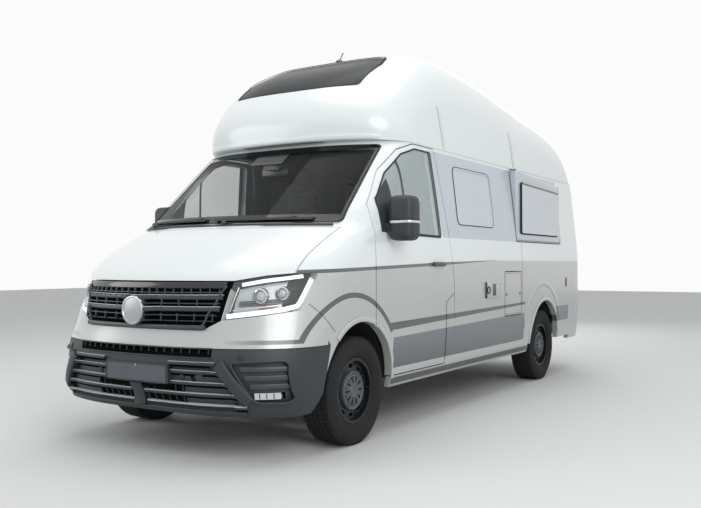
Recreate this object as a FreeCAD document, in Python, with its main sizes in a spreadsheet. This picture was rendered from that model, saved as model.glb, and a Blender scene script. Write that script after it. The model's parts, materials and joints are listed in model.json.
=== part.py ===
import FreeCAD, Part
import math
import os
import re

import Sketcher

# High-roof camper van on a front-engined panel van, standing on its tyres.
# X points to the vehicle's left, Y to its rear, Z up, origin on the ground at mid-length.

# Driving sizes in millimetres. Stations along the van are measured back from its front.
SIZES = {
    # Whole vehicle
    "body_length": 5986, "body_width": 2040, "body_height": 2970, "waist": 2100,
    "roof_width": 1870, "rear_corner_depth": 300, "overrun": 20, "seam": 8, "joint_gap": 0.5,
    "seat_gap": 0.3, "cab_frame_rear_at": 2300, "cowl_depth": 95, "glass_wall": 6,
    "glass_round": 22, "panel_wall": 45, "bonnet_wall": 30, "door_wall": 50,
    "frame_wall": 70, "roof_wall": 45, "lamp_depth": 90, "grille_wall": 34,
    # Wheels and suspension
    "front_axle_at": 1010, "wheelbase": 3640, "track": 1750, "tyre_diameter": 708,
    "tyre_width": 235, "tread_width": 196, "rim_diameter": 430,
    "shoulder_drop": 16, "tread_drop": 14, "sidewall_bulge_diameter": 560, "tyre_wall": 34,
    "rim_seat_diameter": 406, "rim_flange": 11, "barrel_wall": 8, "rim_width": 178,
    "disc_offset": 36, "disc_wall": 12, "hub_diameter": 150, "hub_bore": 66, "disc_dish": 26,
    "nave_radius": 118, "kingpin_half_track": 835, "kingpin_radius": 14,
    "upright_width": 60, "upright_depth": 120, "upright_height": 210,
    "brake_disc_radius": 150, "brake_disc_wall": 18, "brake_disc_at": 892, "arm_height": 26,
    "arm_width": 70, "arm_inner": 400, "strut_radius": 34, "strut_at": 655,
    "strut_top": 850, "strut_foot": 470, "subframe_depth": 420, "subframe_height": 70,
    "subframe_bottom": 216,
    "beam_radius": 45, "beam_half": 745, "spring_width": 70, "spring_leaf": 14,
    "spring_length": 1300, "spring_bite": 10, "hanger_length": 60, "drum_radius": 155,
    "drum_width": 62,
    # Wheel arches
    "arch_radius": 420, "front_arch_top": 807, "rear_arch_top": 808, "liner_radius": 436,
    "liner_wall": 4, "liner_inner": 700, "liner_outer": 940,
    # Chassis
    "rail_inner": 400, "rail_width": 80, "rail_height": 110, "rail_bottom": 444,
    "rail_front": 260, "rail_rear": 5850, "cross_width": 80, "cross_front": 420,
    "cross_pitch": 1700, "cross_drop": 15, "cross_count": 4, "floor_top": 590,
    "floor_wall": 36, "floor_rear": 5860,
    "tow_plate_width": 90, "tow_plate_height": 150, "tow_plate_wall": 12, "tow_hole": 13,
    "tow_hole_pitch": 80, "bulkhead_at": 1290, "bulkhead_wall": 12, "bulkhead_top": 1370,
    "bulkhead_half": 880, "bulkhead_leg": 520, "bulkhead_shoulder": 850,
    # Front
    "bonnet_half": 885, "bonnet_front_height": 1090, "cowl_height": 1425, "wing_rear_at": 1190,
    "nose_depth": 1250, "grille_top_half": 600, "grille_top": 1080,
    "grille_bottom": 792, "badge_radius": 88, "badge_height": 905, "badge_depth": 14,
    "grille_slats": 4, "slat_height": 22, "slat_wall": 12, "carrier_half": 560,
    "carrier_front_at": 300, "carrier_depth": 60, "carrier_drop": 60, "bumper_top": 690,
    "slot_half": 560, "slot_bottom": 636, "slot_top": 684, "fog_inner": 808,
    "fog_outer": 920, "fog_bottom": 398, "fog_top": 436, "plate_width": 520,
    "plate_height": 112,
    "plate_bottom": 470, "tow_eye_bore": 21, "tow_eye_boss": 44, "tow_eye_at": 440,
    "tow_eye_height": 520, "tow_eye_depth": 60, "tow_eye_front": 60, "bumper_rear_at": 610,
    # Door stops
    "stop_height": 40, "cab_stop_at": 2460, "cab_stop_height": 1060,
    # Sides
    "wall_bottom": 400, "sill_bottom": 325, "sill_wall": 36,
    "sill_front_at": 1400, "sill_rear_at": 4180, "flap_round": 26,
    "handle_length": 180, "handle_rear_at": 2230, "handle_round": 12, "handle_height": 34,
    "handle_depth": 32, "handle_up": 1200, "inlet_front_at": 3077, "inlet_length": 318,
    "inlet_bottom": 885, "inlet_height": 143, "inlet_proud": 14, "inlet_round": 10,
    "pod_out": 1012, "pod_edge": 18, "pod_wall": 22, "pod_depth": 130,
    "window_proud": 20, "window_rebate": 20,
    "rear_door_depth": 180, "rear_door_half": 900, "rear_door_bottom": 575, "rear_door_top": 2085,
    "rear_bumper_bottom": 360, "rear_bumper_top": 566, "rear_bumper_front_at": 5480,
    "tail_lamp_bottom": 800, "tail_lamp_top": 1225, "tail_lamp_inner": 916,
    "tail_lamp_front_at": 5800, "tail_lamp_wall": 40,
    # Roof
    "lip_wall": 14, "lip_width": 130, "hatch_front_at": 4250, "hatch_length": 600,
    "hatch_half": 300, "hatch_wall": 34, "hatch_rise": 14, "hatch_frame": 26,
    "antenna_at": 2290, "antenna_radius": 5, "antenna_length": 170, "antenna_base_radius": 26,
    "antenna_base_height": 60, "antenna_lean": 35, "antenna_foot": 2870,
    "roof_window_rear_at": 2190,
    # Mirrors and wipers
    "mirror_half": 1212, "mirror_inner": 1020, "mirror_depth": 175, "mirror_bottom": 1345,
    "mirror_top": 1660, "mirror_at": 1330, "mirror_arm_height": 34, "mirror_arm_depth": 70,
    "mirror_round": 28, "mirror_foot_front_at": 1276, "mirror_foot_length": 150,
    "mirror_foot_inset": 12, "wiper_radius": 9, "wiper_blade_width": 16, "wiper_lift": 24,
    "wiper_low": 1480, "wiper_left_x": 30, "wiper_left_length": 700, "wiper_right_x": -720,
    "wiper_right_length": 660,
    # Cab inside
    "dash_half": 880, "dash_depth": 340, "dash_roll": 68, "dash_bottom": 960,
    "dash_top": 1300, "column_at": 420, "column_radius": 32, "wheel_rim_radius": 195,
    "wheel_grip_radius": 15, "wheel_boss_radius": 62, "wheel_boss_height": 44,
    "steer_wheel_at": 1715, "steer_wheel_height": 1190, "steer_rake": 35, "spoke_width": 46,
    "spoke_wall": 16, "column_length": 330,
    "seat_half_width": 250, "seat_depth": 500, "seat_cushion": 150, "seat_base_height": 300,
    "seat_base_inset": 50,
    "seat_at": 1750, "seat_centre": 455, "back_height": 650, "back_wall": 130, "back_rake": 14,
    "headrest_width": 280, "headrest_height": 180, "headrest_wall": 90, "headrest_lift": 50,
    # Living space
    "bench_front_at": 2560, "bench_half": 450, "bench_inner": -60, "bed_front_at": 4020,
    "bed_rear_at": 5780, "bed_half": 870, "bed_top": 1240, "bed_board": 30, "mattress_wall": 120,
    "mattress_round": 35, "base_front_wall": 24, "wet_room_front_at": 3320,
    "wet_room_rear_at": 3980, "wet_room_inner": 300, "wet_room_outer": 790,
    "door_head": 2150, "wet_wall": 24, "wet_room_top": 2350,
    "kitchen_front_at": 2980, "kitchen_rear_at": 3860, "kitchen_inner": -400,
    "kitchen_top": 1500, "furniture_out": 860,
    # Under the floor
    "engine_half": 300, "engine_depth": 560, "engine_bottom": 400,
    "engine_height": 560, "gearbox_half": 170, "gearbox_depth": 480, "gearbox_bottom": 320,
    "gearbox_height": 220, "tank_inner": 500, "tank_outer": 880, "tank_front_at": 2500,
    "tank_length": 900, "tank_height": 230, "water_tank_front_at": 2500,
    "water_tank_length": 700, "water_tank_half": 330, "exhaust_radius": 30,
    "silencer_radius": 95, "silencer_length": 620, "silencer_front_at": 2700,
    "exhaust_height": 330, "exhaust_out": 620,
    "exhaust_front_at": 1500, "exhaust_rear_at": 4000,
}

document = FreeCAD.newDocument("CamperVan")
sheet = document.addObject("Spreadsheet::Sheet", "Sizes")
for row, (alias, value) in enumerate(SIZES.items(), start=1):
    sheet.set(f"A{row}", alias)
    sheet.set(f"B{row}", str(value))
    sheet.setAlias(f"B{row}", alias)
work_sheet = document.addObject("Spreadsheet::Sheet", "Work")
document.recompute()


class SheetSizes:
    """The sheet's cells as numbers, by alias."""

    def __getattr__(self, alias):
        return float(sheet.get(alias))


size = SheetSizes()
nodes = []
Vector = FreeCAD.Vector
SIDES = {"left": 1, "right": -1}

# Horizontal sections of the lower body from bumper to waist, as shares: height above the
# ground, front on the centre line, depth of the rounded front, half width, and roundness.
BODY_SHARES = [
    (0.0943, 0.017, 0.0802, 0.9412, 3.0), (0.1145, 0.0074, 0.0902, 0.9657, 2.9),
    (0.1448, 0.002, 0.0952, 0.9804, 2.8), (0.1818, 0.001, 0.0986, 0.9902, 2.8),
    (0.2222, 0.0015, 0.1036, 0.998, 2.6), (0.2626, 0.0033, 0.1069, 1, 2.3),
    (0.303, 0.0043, 0.1119, 1, 2.15), (0.3367, 0.0053, 0.1169, 1, 2.05),
    (0.3603, 0.007, 0.1203, 1, 2.0), (0.3771, 0.0137, 0.1203, 1, 2.05),
    (0.3973, 0.0276, 0.1169, 1, 2.15), (0.4209, 0.0476, 0.1136, 0.998, 2.25),
    (0.4512, 0.076, 0.1136, 0.9931, 2.3), (0.4882, 0.1136, 0.1169, 0.9843, 2.35),
    (0.5253, 0.1373, 0.1069, 0.9735, 2.35), (0.5892, 0.1779, 0.0952, 0.9529, 2.4),
    (0.6566, 0.2205, 0.0819, 0.9294, 2.45), (0.7071, 0.2526, 0.0752, 0.9118, 2.5),
]
REAR_ROUNDNESS = 4.0
SECTION_COUNT = 40
ARCH_COUNT = 36

# Arches of the moulded roof from nose to tail, as shares: crown station, crown height,
# station of the arch's feet at the waist, and roundness.
ROOF_SHARES = [
    (0.2406, 0.7071, 0.3278, 2.5), (0.2379, 0.729, 0.3284, 2.6),
    (0.2414, 0.7643, 0.3299, 2.7), (0.2506, 0.8081, 0.3324, 2.9),
    (0.2673, 0.8485, 0.3366, 3.1), (0.2873, 0.8838, 0.3441, 3.4),
    (0.3124, 0.9175, 0.3542, 3.6), (0.3425, 0.9478, 0.3675, 3.8),
    (0.3759, 0.9747, 0.3892, 4.0), (0.421, 0.9933, 0.4243, 4.1),
    (0.4845, 1, 0.4845, 3.95), (0.568, 0.9966, 0.568, 3.7),
    (0.6682, 0.9815, 0.6682, 3.35), (0.7685, 0.9596, 0.7685, 3.15),
    (0.8603, 0.9394, 0.8553, 3.0), (0.9105, 0.9226, 0.8921, 2.9),
    (0.9439, 0.899, 0.9121, 2.8), (0.9673, 0.8653, 0.9255, 2.7),
    (0.9823, 0.8182, 0.9347, 2.7), (0.9915, 0.7643, 0.9414, 2.8),
    (0.9948, 0.7071, 0.9464, 3.0),
]

# Side outlines, as shares of the length from the front and of the height.
CAB_DOOR_SHARES = [
    (0.2005, 0.1374), (0.2005, 0.4529), (0.2041, 0.5347), (0.2431, 0.6229),
    (0.284, 0.6818), (0.3157, 0.702), (0.3735, 0.702), (0.3953, 0.468),
    (0.4076, 0.3468), (0.4076, 0.1374),
]
FUEL_NOTCH_SHARES = [(0.4085, 0.3232), (0.3817, 0.298), (0.3817, 0.1313), (0.411, 0.1313)]
CAB_WINDOW_SHARES = [
    (0.2172, 0.4754), (0.3712, 0.4707), (0.3625, 0.6909), (0.3182, 0.6909),
    (0.2865, 0.6714), (0.2489, 0.6182), (0.2172, 0.5461),
]
SLIDING_DOOR_SHARES = [(0.421, 0.1347), (0.421, 0.702), (0.6331, 0.702), (0.6331, 0.1347)]
MID_WINDOW_SHARES = [(0.4293, 0.5118), (0.553, 0.5118), (0.553, 0.6633), (0.4293, 0.6633)]
POD_SHARES = [(0.6465, 0.4731), (0.8603, 0.4731), (0.8603, 0.6734), (0.6465, 0.7003)]
POD_WINDOW_SHARES = [(0.6615, 0.4983), (0.8453, 0.4983), (0.8453, 0.6498), (0.6615, 0.6599)]
FLAP_SHARES = [(0.5897, 0.2391), (0.6615, 0.2391), (0.6615, 0.3737), (0.5897, 0.3737)]
LAMP_SIDE_SHARES = [(-0.01, 0.2626), (0.0668, 0.2963), (0.0735, 0.3148), (0.0956, 0.3788),
                    (0.0956, 0.3872), (-0.01, 0.3872)]
FASCIA_SIDE_SHARES = [(-0.01, 0.231), (0.1069, 0.231), (0.0728, 0.3071), (-0.01, 0.3872)]
BUMPER_SIDE_SHARES = [(-0.01, 0.0909), (0.0835, 0.0909), (0.0986, 0.1347), (0.1069, 0.231),
                      (-0.01, 0.231)]

# Front outlines, as shares of the half width and of the height.
WINDSHIELD_SHARES = [(-0.8588, 0.4923), (0.8588, 0.4923), (0.799, 0.6943), (-0.799, 0.6943)]
LAMP_SHARES = [(0.6098, 0.363), (0.5765, 0.2869), (0.6863, 0.2916), (0.7843, 0.2963),
               (0.9265, 0.3057), (1.0392, 0.3232), (1.0392, 0.3872), (0.8873, 0.3798),
               (0.7549, 0.3744)]
BONNET_SHARES = [(-0.8676, 0.3808), (-0.7549, 0.3764), (-0.6098, 0.3657), (0.6098, 0.3657),
                 (0.7549, 0.3764), (0.8676, 0.3808), (0.8676, 0.5051), (-0.8676, 0.5051)]
GRILLE_SHARES = [(-0.6059, 0.363), (-0.5725, 0.2862), (-0.4706, 0.2667), (0.4706, 0.2667),
                 (0.5725, 0.2862), (0.6059, 0.363)]
FOG_SHARES = [(0.6667, 0.202), (0.9265, 0.2067), (0.9431, 0.1286), (0.7961, 0.1293)]
INTAKE_SHARES = [(-0.5343, 0.202), (0.5343, 0.202), (0.7206, 0.133), (0.6765, 0.1128),
                 (-0.6765, 0.1128), (-0.7206, 0.133)]
ROOF_WINDOW_SHARES = [(-0.5784, 0.8535), (0.5784, 0.8535), (0.5882, 0.9293), (0.5294, 0.9657),
                      (-0.5294, 0.9657), (-0.5882, 0.9293)]
REAR_WINDOW_SHARES = [(0.0882, 0.4848), (0.7843, 0.4848), (0.7255, 0.6599), (0.0882, 0.6599)]


def station(from_front):
    """Y of a place measured back from the front of the van."""
    return from_front - size.body_length / 2


def keep(label, item):
    """Give an object its node name and list it for the parts folder."""
    item.Label = label
    nodes.append(item)
    return item


def shaped(label, shape):
    """A sub-part whose free-form shape is worked out from the sheet."""
    item = document.addObject("Part::Feature", label)
    item.Shape = shape
    return keep(label, item)


def cell_text(text):
    """An expression with each size name turned into a reference to the sheet."""
    return re.sub(r"[a-z]+_[a-z_]+|waist|track|wheelbase|seam", r"Sizes.\g<0>", text)


def bound(kind, name, **expressions):
    """A primitive whose properties follow the sheet."""
    item = document.addObject(kind, name)
    for prop, text in expressions.items():
        item.setExpression(prop.replace("__", "."), cell_text(text))
    return item


def block(name, corner, extent):
    """A box between named sizes: its low corner and its extent along X, Y and Z."""
    return bound("Part::Box", name, Placement__Base__x=corner[0], Placement__Base__y=corner[1],
                 Placement__Base__z=corner[2], Length=extent[0], Width=extent[1], Height=extent[2])


def rod(name, radius, length, base, axis):
    """A bound cylinder from a base point along an axis."""
    item = bound("Part::Cylinder", name, Radius=radius, Height=length, Placement__Base__x=base[0],
                 Placement__Base__y=base[1], Placement__Base__z=base[2])
    item.Placement.Rotation = FreeCAD.Rotation(Vector(0, 0, 1), Vector(*axis))
    return item


def mirrored(source):
    """The same piece on the other side of the vehicle."""
    item = document.addObject("Part::Mirroring", source.Name + "_mirrored")
    item.Source = source
    item.Normal = Vector(1, 0, 0)
    return item


def joined(name, items):
    """Several bound pieces fused into one."""
    item = document.addObject("Part::MultiFuse", name)
    item.Shapes = items
    return item


def grouped(name, items):
    """Several bound pieces that share a node as solids of their own."""
    item = document.addObject("Part::Compound", name)
    item.Links = items
    return item


def cut_from(name, base, tool):
    """One bound piece cut from another."""
    item = document.addObject("Part::Cut", name)
    item.Base = base
    item.Tool = tool
    return item


def side_points(shares):
    """Points of a side outline at X zero."""
    return [Vector(0, station(a * size.body_length), b * size.body_height) for a, b in shares]


def front_points(shares):
    """Points of a front outline at Y zero."""
    return [Vector(a * size.body_width / 2, 0, b * size.body_height) for a, b in shares]


def prism(points, low, high, grow=0, round_radius=0):
    """An outline grown by a gap, its corners rounded, and pushed from low to high."""
    outline = Part.makePolygon(points + points[:1])
    if grow:
        outline = outline.makeOffset2D(grow, 2)
    solid = Part.Face(outline).extrude(high - low)
    solid.translate(low)
    if round_radius:
        along = (high - low).normalize()
        edges = [e for e in solid.Edges if abs(abs(e.tangentAt(e.FirstParameter) * along) - 1) < 1e-6]
        solid = solid.makeFillet(round_radius, edges)
    return solid


def side_prism(shares, sign=1, grow=0, round_radius=0):
    """A side outline pushed from the centre line out past one side of the van."""
    reach = size.body_width
    return prism(side_points(shares), Vector(0, 0, 0), Vector(sign * reach, 0, 0), grow, round_radius)


def front_prism(shares, grow=0, round_radius=0, depth=None):
    """A front outline pushed back from ahead of the nose."""
    low = Vector(0, station(-size.panel_wall), 0)
    high = Vector(0, station(depth or size.nose_depth), 0)
    return prism(front_points(shares), low, high, grow, round_radius)


def slab(x_range, y_range, z_range):
    """A plain box between limits."""
    extent = [high - low for low, high in (x_range, y_range, z_range)]
    return Part.makeBox(*extent, Vector(x_range[0], y_range[0], z_range[0]))


def largest(shape):
    """The biggest solid of a result, without slivers."""
    return max(shape.Solids, key=lambda item: item.Volume)


def superellipse(low_angle, high_angle, count, roundness):
    """Unit points of a rounded curve, as pairs across and along."""
    pairs = []
    for step in range(count + 1):
        angle = low_angle + (high_angle - low_angle) * step / count
        across, along = math.sin(angle), max(math.cos(angle), 0)
        pairs.append((math.copysign(abs(across) ** (2 / roundness), across), along ** (2 / roundness)))
    return pairs


def smooth_curve(points):
    """A curve through evenly numbered points, so that neighbouring sections match."""
    curve = Part.BSplineCurve()
    curve.interpolate(Points=points, Parameters=[i / (len(points) - 1) for i in range(len(points))])
    return curve


def body_wire(row, wall, stretch):
    """One horizontal section of the lower body, drawn in by a wall."""
    height, front, depth, half, roundness = row
    side_start = station(size.body_length * (front + depth))
    nose = station(size.body_length * front) + wall * stretch
    half = half * size.body_width / 2 - wall
    tail_start = size.body_length / 2 - size.rear_corner_depth
    tail = size.body_length / 2 - wall
    level = height * size.body_height
    bow = [Vector(half * a, side_start - (side_start - nose) * b, level)
           for a, b in superellipse(-math.pi / 2, math.pi / 2, 16, roundness)]
    stern = [Vector(-half * a, tail_start + (tail - tail_start) * b, level)
             for a, b in superellipse(-math.pi / 2, math.pi / 2, 16, REAR_ROUNDNESS)]
    front_curve, rear_curve = smooth_curve(bow), smooth_curve(stern)
    left = Part.LineSegment(bow[-1], stern[0]).toShape()
    right = Part.LineSegment(stern[-1], bow[0]).toShape()
    return Part.Wire([front_curve.toShape(), left, rear_curve.toShape(), right])


def slopes(places, values):
    """Slopes that carry a curve through a column of values without overshoot."""
    steps = [(v2 - v1) / (p2 - p1) for p1, p2, v1, v2 in zip(places, places[1:], values, values[1:])]
    inside = [2 * a * b / (a + b) if a * b > 0 else 0 for a, b in zip(steps, steps[1:])]
    return [steps[0]] + inside + [steps[-1]]


def table_row(rows, places, tangents, place):
    """One row of a table at any place along it, carried on straight past its ends."""
    last = len(places) - 1
    if place <= places[0] or place >= places[-1]:
        end = 0 if place <= places[0] else last
        return tuple(v + s[end] * (place - places[end]) for v, s in zip(rows[end], tangents))
    low = max(i for i in range(last) if places[i] <= place)
    span = places[low + 1] - places[low]
    t = (place - places[low]) / span
    return tuple(a * (1 + 2 * t) * (1 - t) ** 2 + b * t * t * (3 - 2 * t)
                 + span * (s[low] * t * (1 - t) ** 2 - s[low + 1] * t * t * (1 - t))
                 for a, b, s in zip(rows[low], rows[low + 1], tangents))


def even_rows(rows, places, count, extra=0):
    """A table's rows taken again at even distances, so that a loft through them runs fair."""
    tangents = [slopes(places, column) for column in zip(*rows)]
    start, end = places[0] - extra, places[-1] + extra
    return [table_row(rows, places, tangents, start + (end - start) * i / count)
            for i in range(count + 1)]


def body_row(height):
    """The lower body's section table at one height."""
    places = [row[0] * size.body_height for row in BODY_SHARES]
    tangents = [slopes(places, column) for column in zip(*BODY_SHARES)]
    return table_row(BODY_SHARES, places, tangents, height)


def body_envelope(wall=0, extra=0):
    """The lower body's outer shape, or the same drawn in by a wall and run past both ends."""
    places = [row[0] * size.body_height for row in BODY_SHARES]
    rows = even_rows(BODY_SHARES, places, SECTION_COUNT, extra)
    wires = []
    for index, row in enumerate(rows):
        before, after = rows[max(index - 1, 0)], rows[min(index + 1, len(rows) - 1)]
        run = (after[1] - before[1]) * size.body_length
        rise = (after[0] - before[0]) * size.body_height
        wires.append(body_wire(row, wall, math.hypot(1, run / rise)))
    return Part.makeLoft(wires, True, False)


def roof_envelope(wall=0, base_drop=0):
    """The moulded roof's outer shape, or the same drawn in by a wall."""
    base = size.waist - base_drop
    half = size.roof_width / 2 - wall
    places = [0]
    for before, after in zip(ROOF_SHARES, ROOF_SHARES[1:]):
        places.append(places[-1] + math.hypot((after[0] - before[0]) * size.body_length,
                                              (after[1] - before[1]) * size.body_height))
    rows = even_rows(ROOF_SHARES, places, ARCH_COUNT)
    wires = []
    for index, (crown, top, foot, roundness) in enumerate(rows):
        before = rows[max(index - 1, 0)]
        after = rows[min(index + 1, len(rows) - 1)]
        run = (after[0] - before[0]) * size.body_length
        rise = (after[1] - before[1]) * size.body_height
        length = math.hypot(run, rise)
        crown_y = station(crown * size.body_length) + wall * rise / length
        crown_z = top * size.body_height - wall * run / length
        crown_z = max(crown_z, base)
        foot_y = station(foot * size.body_length) + wall * rise / length
        points = [Vector(half * a, foot_y + (crown_y - foot_y) * b, base + (crown_z - base) * b)
                  for a, b in superellipse(-math.pi / 2, math.pi / 2, 20, roundness)]
        arch = smooth_curve(points).toShape()
        wires.append(Part.Wire([arch, Part.LineSegment(points[-1], points[0]).toShape()]))
    return Part.makeLoft(wires, True, False)


def section_prism(height, wall, low, high):
    """The body's own plan outline at one height, drawn in by a wall, as an upright column."""
    wire = body_wire(body_row(height), wall, 1)
    column = Part.Face(wire).extrude(Vector(0, 0, high - low))
    column.translate(Vector(0, 0, low - height))
    return column


OUTER = body_envelope()
ROOF = roof_envelope()
inner_cache = {}


def inner(wall):
    """The body's inside for one wall thickness."""
    if wall not in inner_cache:
        inner_cache[wall] = body_envelope(wall, size.overrun)
    return inner_cache[wall]


def panel(region, wall, *cuts):
    """A panel of the body: what a region holds of the skin, less its cuts."""
    piece = OUTER.common(region).cut(inner(wall))
    for cut in cuts:
        piece = piece.cut(cut)
    return piece


def arch_tool(at, top, radius, sign=1):
    """A wheel arch's opening through one side."""
    centre = Vector(0, station(at), top - radius)
    return Part.makeCylinder(radius, size.body_width, centre, Vector(sign, 0, 0))


def carried_by(block_shape, wall):
    """A stop block trimmed to lie just inside a closed door's inner face."""
    return block_shape.common(inner(wall + size.seat_gap))


def door_stop(y_low, y_root, y_high, z_range, sign):
    """A striker block on a post, reaching behind a closed side door's edge."""
    outer_x, inner_x = size.body_width / 2, size.body_width / 2 - 2 * size.door_wall
    x_range = sorted((sign * inner_x, sign * outer_x))
    reach = carried_by(slab(x_range, (y_low, y_high), z_range), size.door_wall)
    root = slab(x_range, (y_root, y_high), z_range).common(inner(size.panel_wall / 2))
    return reach.fuse(root)


def wing_side(sign, grow=0):
    """Space outboard of the bonnet's side seam."""
    low = size.bonnet_half + size.seam + grow
    x_range = sorted((sign * low, sign * size.body_width))
    return slab(x_range, (station(-size.panel_wall), station(size.wing_rear_at)),
                (size.wall_bottom - size.panel_wall, size.cowl_height + size.panel_wall))


def headlamp_space(sign, grow=0):
    """The corner that one headlamp fills."""
    points = [Vector(sign * p.x, p.y, p.z) for p in front_points(LAMP_SHARES)]
    low = Vector(0, station(-size.panel_wall), 0)
    front = prism(points, low, Vector(0, station(size.nose_depth), 0), grow)
    return front.common(side_prism(LAMP_SIDE_SHARES, sign, grow))


def bonnet_space(grow=0):
    """What lies ahead of the cowl line between the wings."""
    cowl = section_prism(size.cowl_height, grow, size.bulkhead_shoulder, size.waist)
    return front_prism(BONNET_SHARES, grow).cut(cowl)


def make_cab_frame():
    """Pillars, header and cowl round the windscreen."""
    region = slab((-size.body_width, size.body_width), (station(0), station(size.cab_frame_rear_at)),
                  (size.cowl_height - size.cowl_depth, size.waist))
    opening = front_prism(WINDSHIELD_SHARES, 0, size.glass_round, size.cab_frame_rear_at)
    cuts = [opening, bonnet_space(size.seam)]
    for sign in SIDES.values():
        cuts.append(side_prism(CAB_DOOR_SHARES, sign, size.seam))
        cuts.append(wing_side(sign, -size.joint_gap))
    shaped("cab_frame", panel(region, size.frame_wall, *cuts))
    glass = front_prism(WINDSHIELD_SHARES, -size.seat_gap, size.glass_round, size.cab_frame_rear_at)
    shaped("windshield", panel(glass, size.glass_wall))


def make_front():
    """Bonnet, wings, lamps, grille and bumper."""
    shaped("bonnet", largest(panel(bonnet_space(), size.bonnet_wall)))
    lamps, wings = [], []
    for sign in SIDES.values():
        lamp = largest(panel(headlamp_space(sign), size.lamp_depth))
        lamps.append(lamp)
        cuts = [headlamp_space(sign, size.joint_gap),
                side_prism(FASCIA_SIDE_SHARES, sign, size.joint_gap),
                side_prism(BUMPER_SIDE_SHARES, sign, size.joint_gap),
                side_prism(CAB_DOOR_SHARES, sign, size.seam),
                arch_tool(size.front_axle_at, size.front_arch_top, size.arch_radius, sign)]
        wings.append(largest(panel(wing_side(sign), size.panel_wall, *cuts)))
    shaped("headlamps", Part.makeCompound(lamps))
    shaped("front_wings", Part.makeCompound(wings))
    make_grille_and_fascia()
    make_bumper()


def make_grille_and_fascia():
    """The slatted grille with its plain disc, and the painted panel round it."""
    grille_space = front_prism(GRILLE_SHARES)
    grille = panel(grille_space, size.grille_wall)
    pitch = (size.grille_top - size.grille_bottom) / size.grille_slats
    for index in range(int(size.grille_slats)):
        low = size.grille_bottom + pitch * index + size.slat_height
        gap = slab((-size.grille_top_half, size.grille_top_half),
                   (station(-size.panel_wall), station(size.nose_depth)),
                   (low, low + pitch - size.slat_height))
        gap = gap.common(front_prism(GRILLE_SHARES, -size.slat_wall))
        grille = grille.cut(panel(gap, size.slat_wall))
    disc_back = Vector(0, station(size.grille_wall), size.badge_height)
    disc = Part.makeCylinder(size.badge_radius, size.grille_wall + size.badge_depth / 2, disc_back,
                             Vector(0, -1, 0))
    shaped("grille", largest(grille.fuse(disc)))
    region = slab((-size.body_width, size.body_width),
                  (station(-size.panel_wall), station(size.bumper_rear_at)),
                  (size.bumper_top, size.cowl_height))
    region = region.common(side_prism(FASCIA_SIDE_SHARES).fuse(side_prism(FASCIA_SIDE_SHARES, -1)))
    cuts = [front_prism(GRILLE_SHARES, size.joint_gap), front_prism(BONNET_SHARES, size.seam)]
    cuts += [headlamp_space(sign, size.joint_gap) for sign in SIDES.values()]
    cuts += [arch_tool(size.front_axle_at, size.front_arch_top, size.arch_radius, sign)
             for sign in SIDES.values()]
    fascia = largest(panel(region, size.panel_wall, *cuts))
    carrier = slab((-size.carrier_half, size.carrier_half),
                   (station(size.carrier_front_at), station(size.carrier_front_at + size.carrier_depth)),
                   (size.rail_bottom + size.rail_height, size.bonnet_front_height - size.carrier_drop))
    posts = slab((-size.carrier_half, size.carrier_half),
                 (station(size.carrier_front_at), station(size.carrier_front_at + size.carrier_depth)),
                 (size.bonnet_front_height - size.carrier_drop, size.cowl_height))
    posts = carried_by(posts, size.bonnet_wall)
    shaped("front_fascia", fascia)
    shaped("lock_carrier", carrier.fuse(posts))


def make_bumper():
    """Bumper cover with slot, intake, lamp recesses and the towing-eye hole."""
    region = side_prism(BUMPER_SIDE_SHARES, 1).fuse(side_prism(BUMPER_SIDE_SHARES, -1))
    front = (station(-size.panel_wall), station(size.nose_depth))
    slot = slab((-size.slot_half, size.slot_half), front, (size.slot_bottom, size.slot_top))
    plate_bed = slab((-size.plate_width / 2 - size.seam, size.plate_width / 2 + size.seam), front,
                     (size.plate_bottom - size.seam, size.bumper_top))
    intake = front_prism(INTAKE_SHARES).cut(plate_bed)
    hole_base = Vector(size.tow_eye_at, station(-size.panel_wall), size.tow_eye_height)
    eye_hole = Part.makeCylinder(size.tow_eye_boss / 2 + size.seam, size.nose_depth / 2, hole_base,
                                 Vector(0, 1, 0))
    cuts = [eye_hole] + [arch_tool(size.front_axle_at, size.front_arch_top, size.arch_radius, s)
                         for s in SIDES.values()]
    bumper = panel(region, size.panel_wall, *cuts)
    recess_wall = size.panel_wall / 2
    for pocket in [slot, intake]:
        bumper = bumper.cut(panel(pocket, recess_wall))
    lamps = []
    for sign in SIDES.values():
        points = [Vector(sign * p.x, p.y, p.z) for p in front_points(FOG_SHARES)]
        niche = prism(points, Vector(0, front[0], 0), Vector(0, front[1], 0))
        bumper = bumper.cut(panel(niche, recess_wall))
        x_range = sorted((sign * size.fog_inner, sign * size.fog_outer))
        lamps.append(largest(panel(slab(x_range, front, (size.fog_bottom, size.fog_top)), recess_wall)))
    shaped("front_bumper", largest(bumper))
    shaped("fog_lamps", Part.makeCompound(lamps))
    plate = slab((-size.plate_width / 2, size.plate_width / 2), (station(0), station(size.panel_wall)),
                 (size.plate_bottom, size.plate_bottom + size.plate_height)).cut(OUTER)
    shaped("front_plate", plate)


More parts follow.
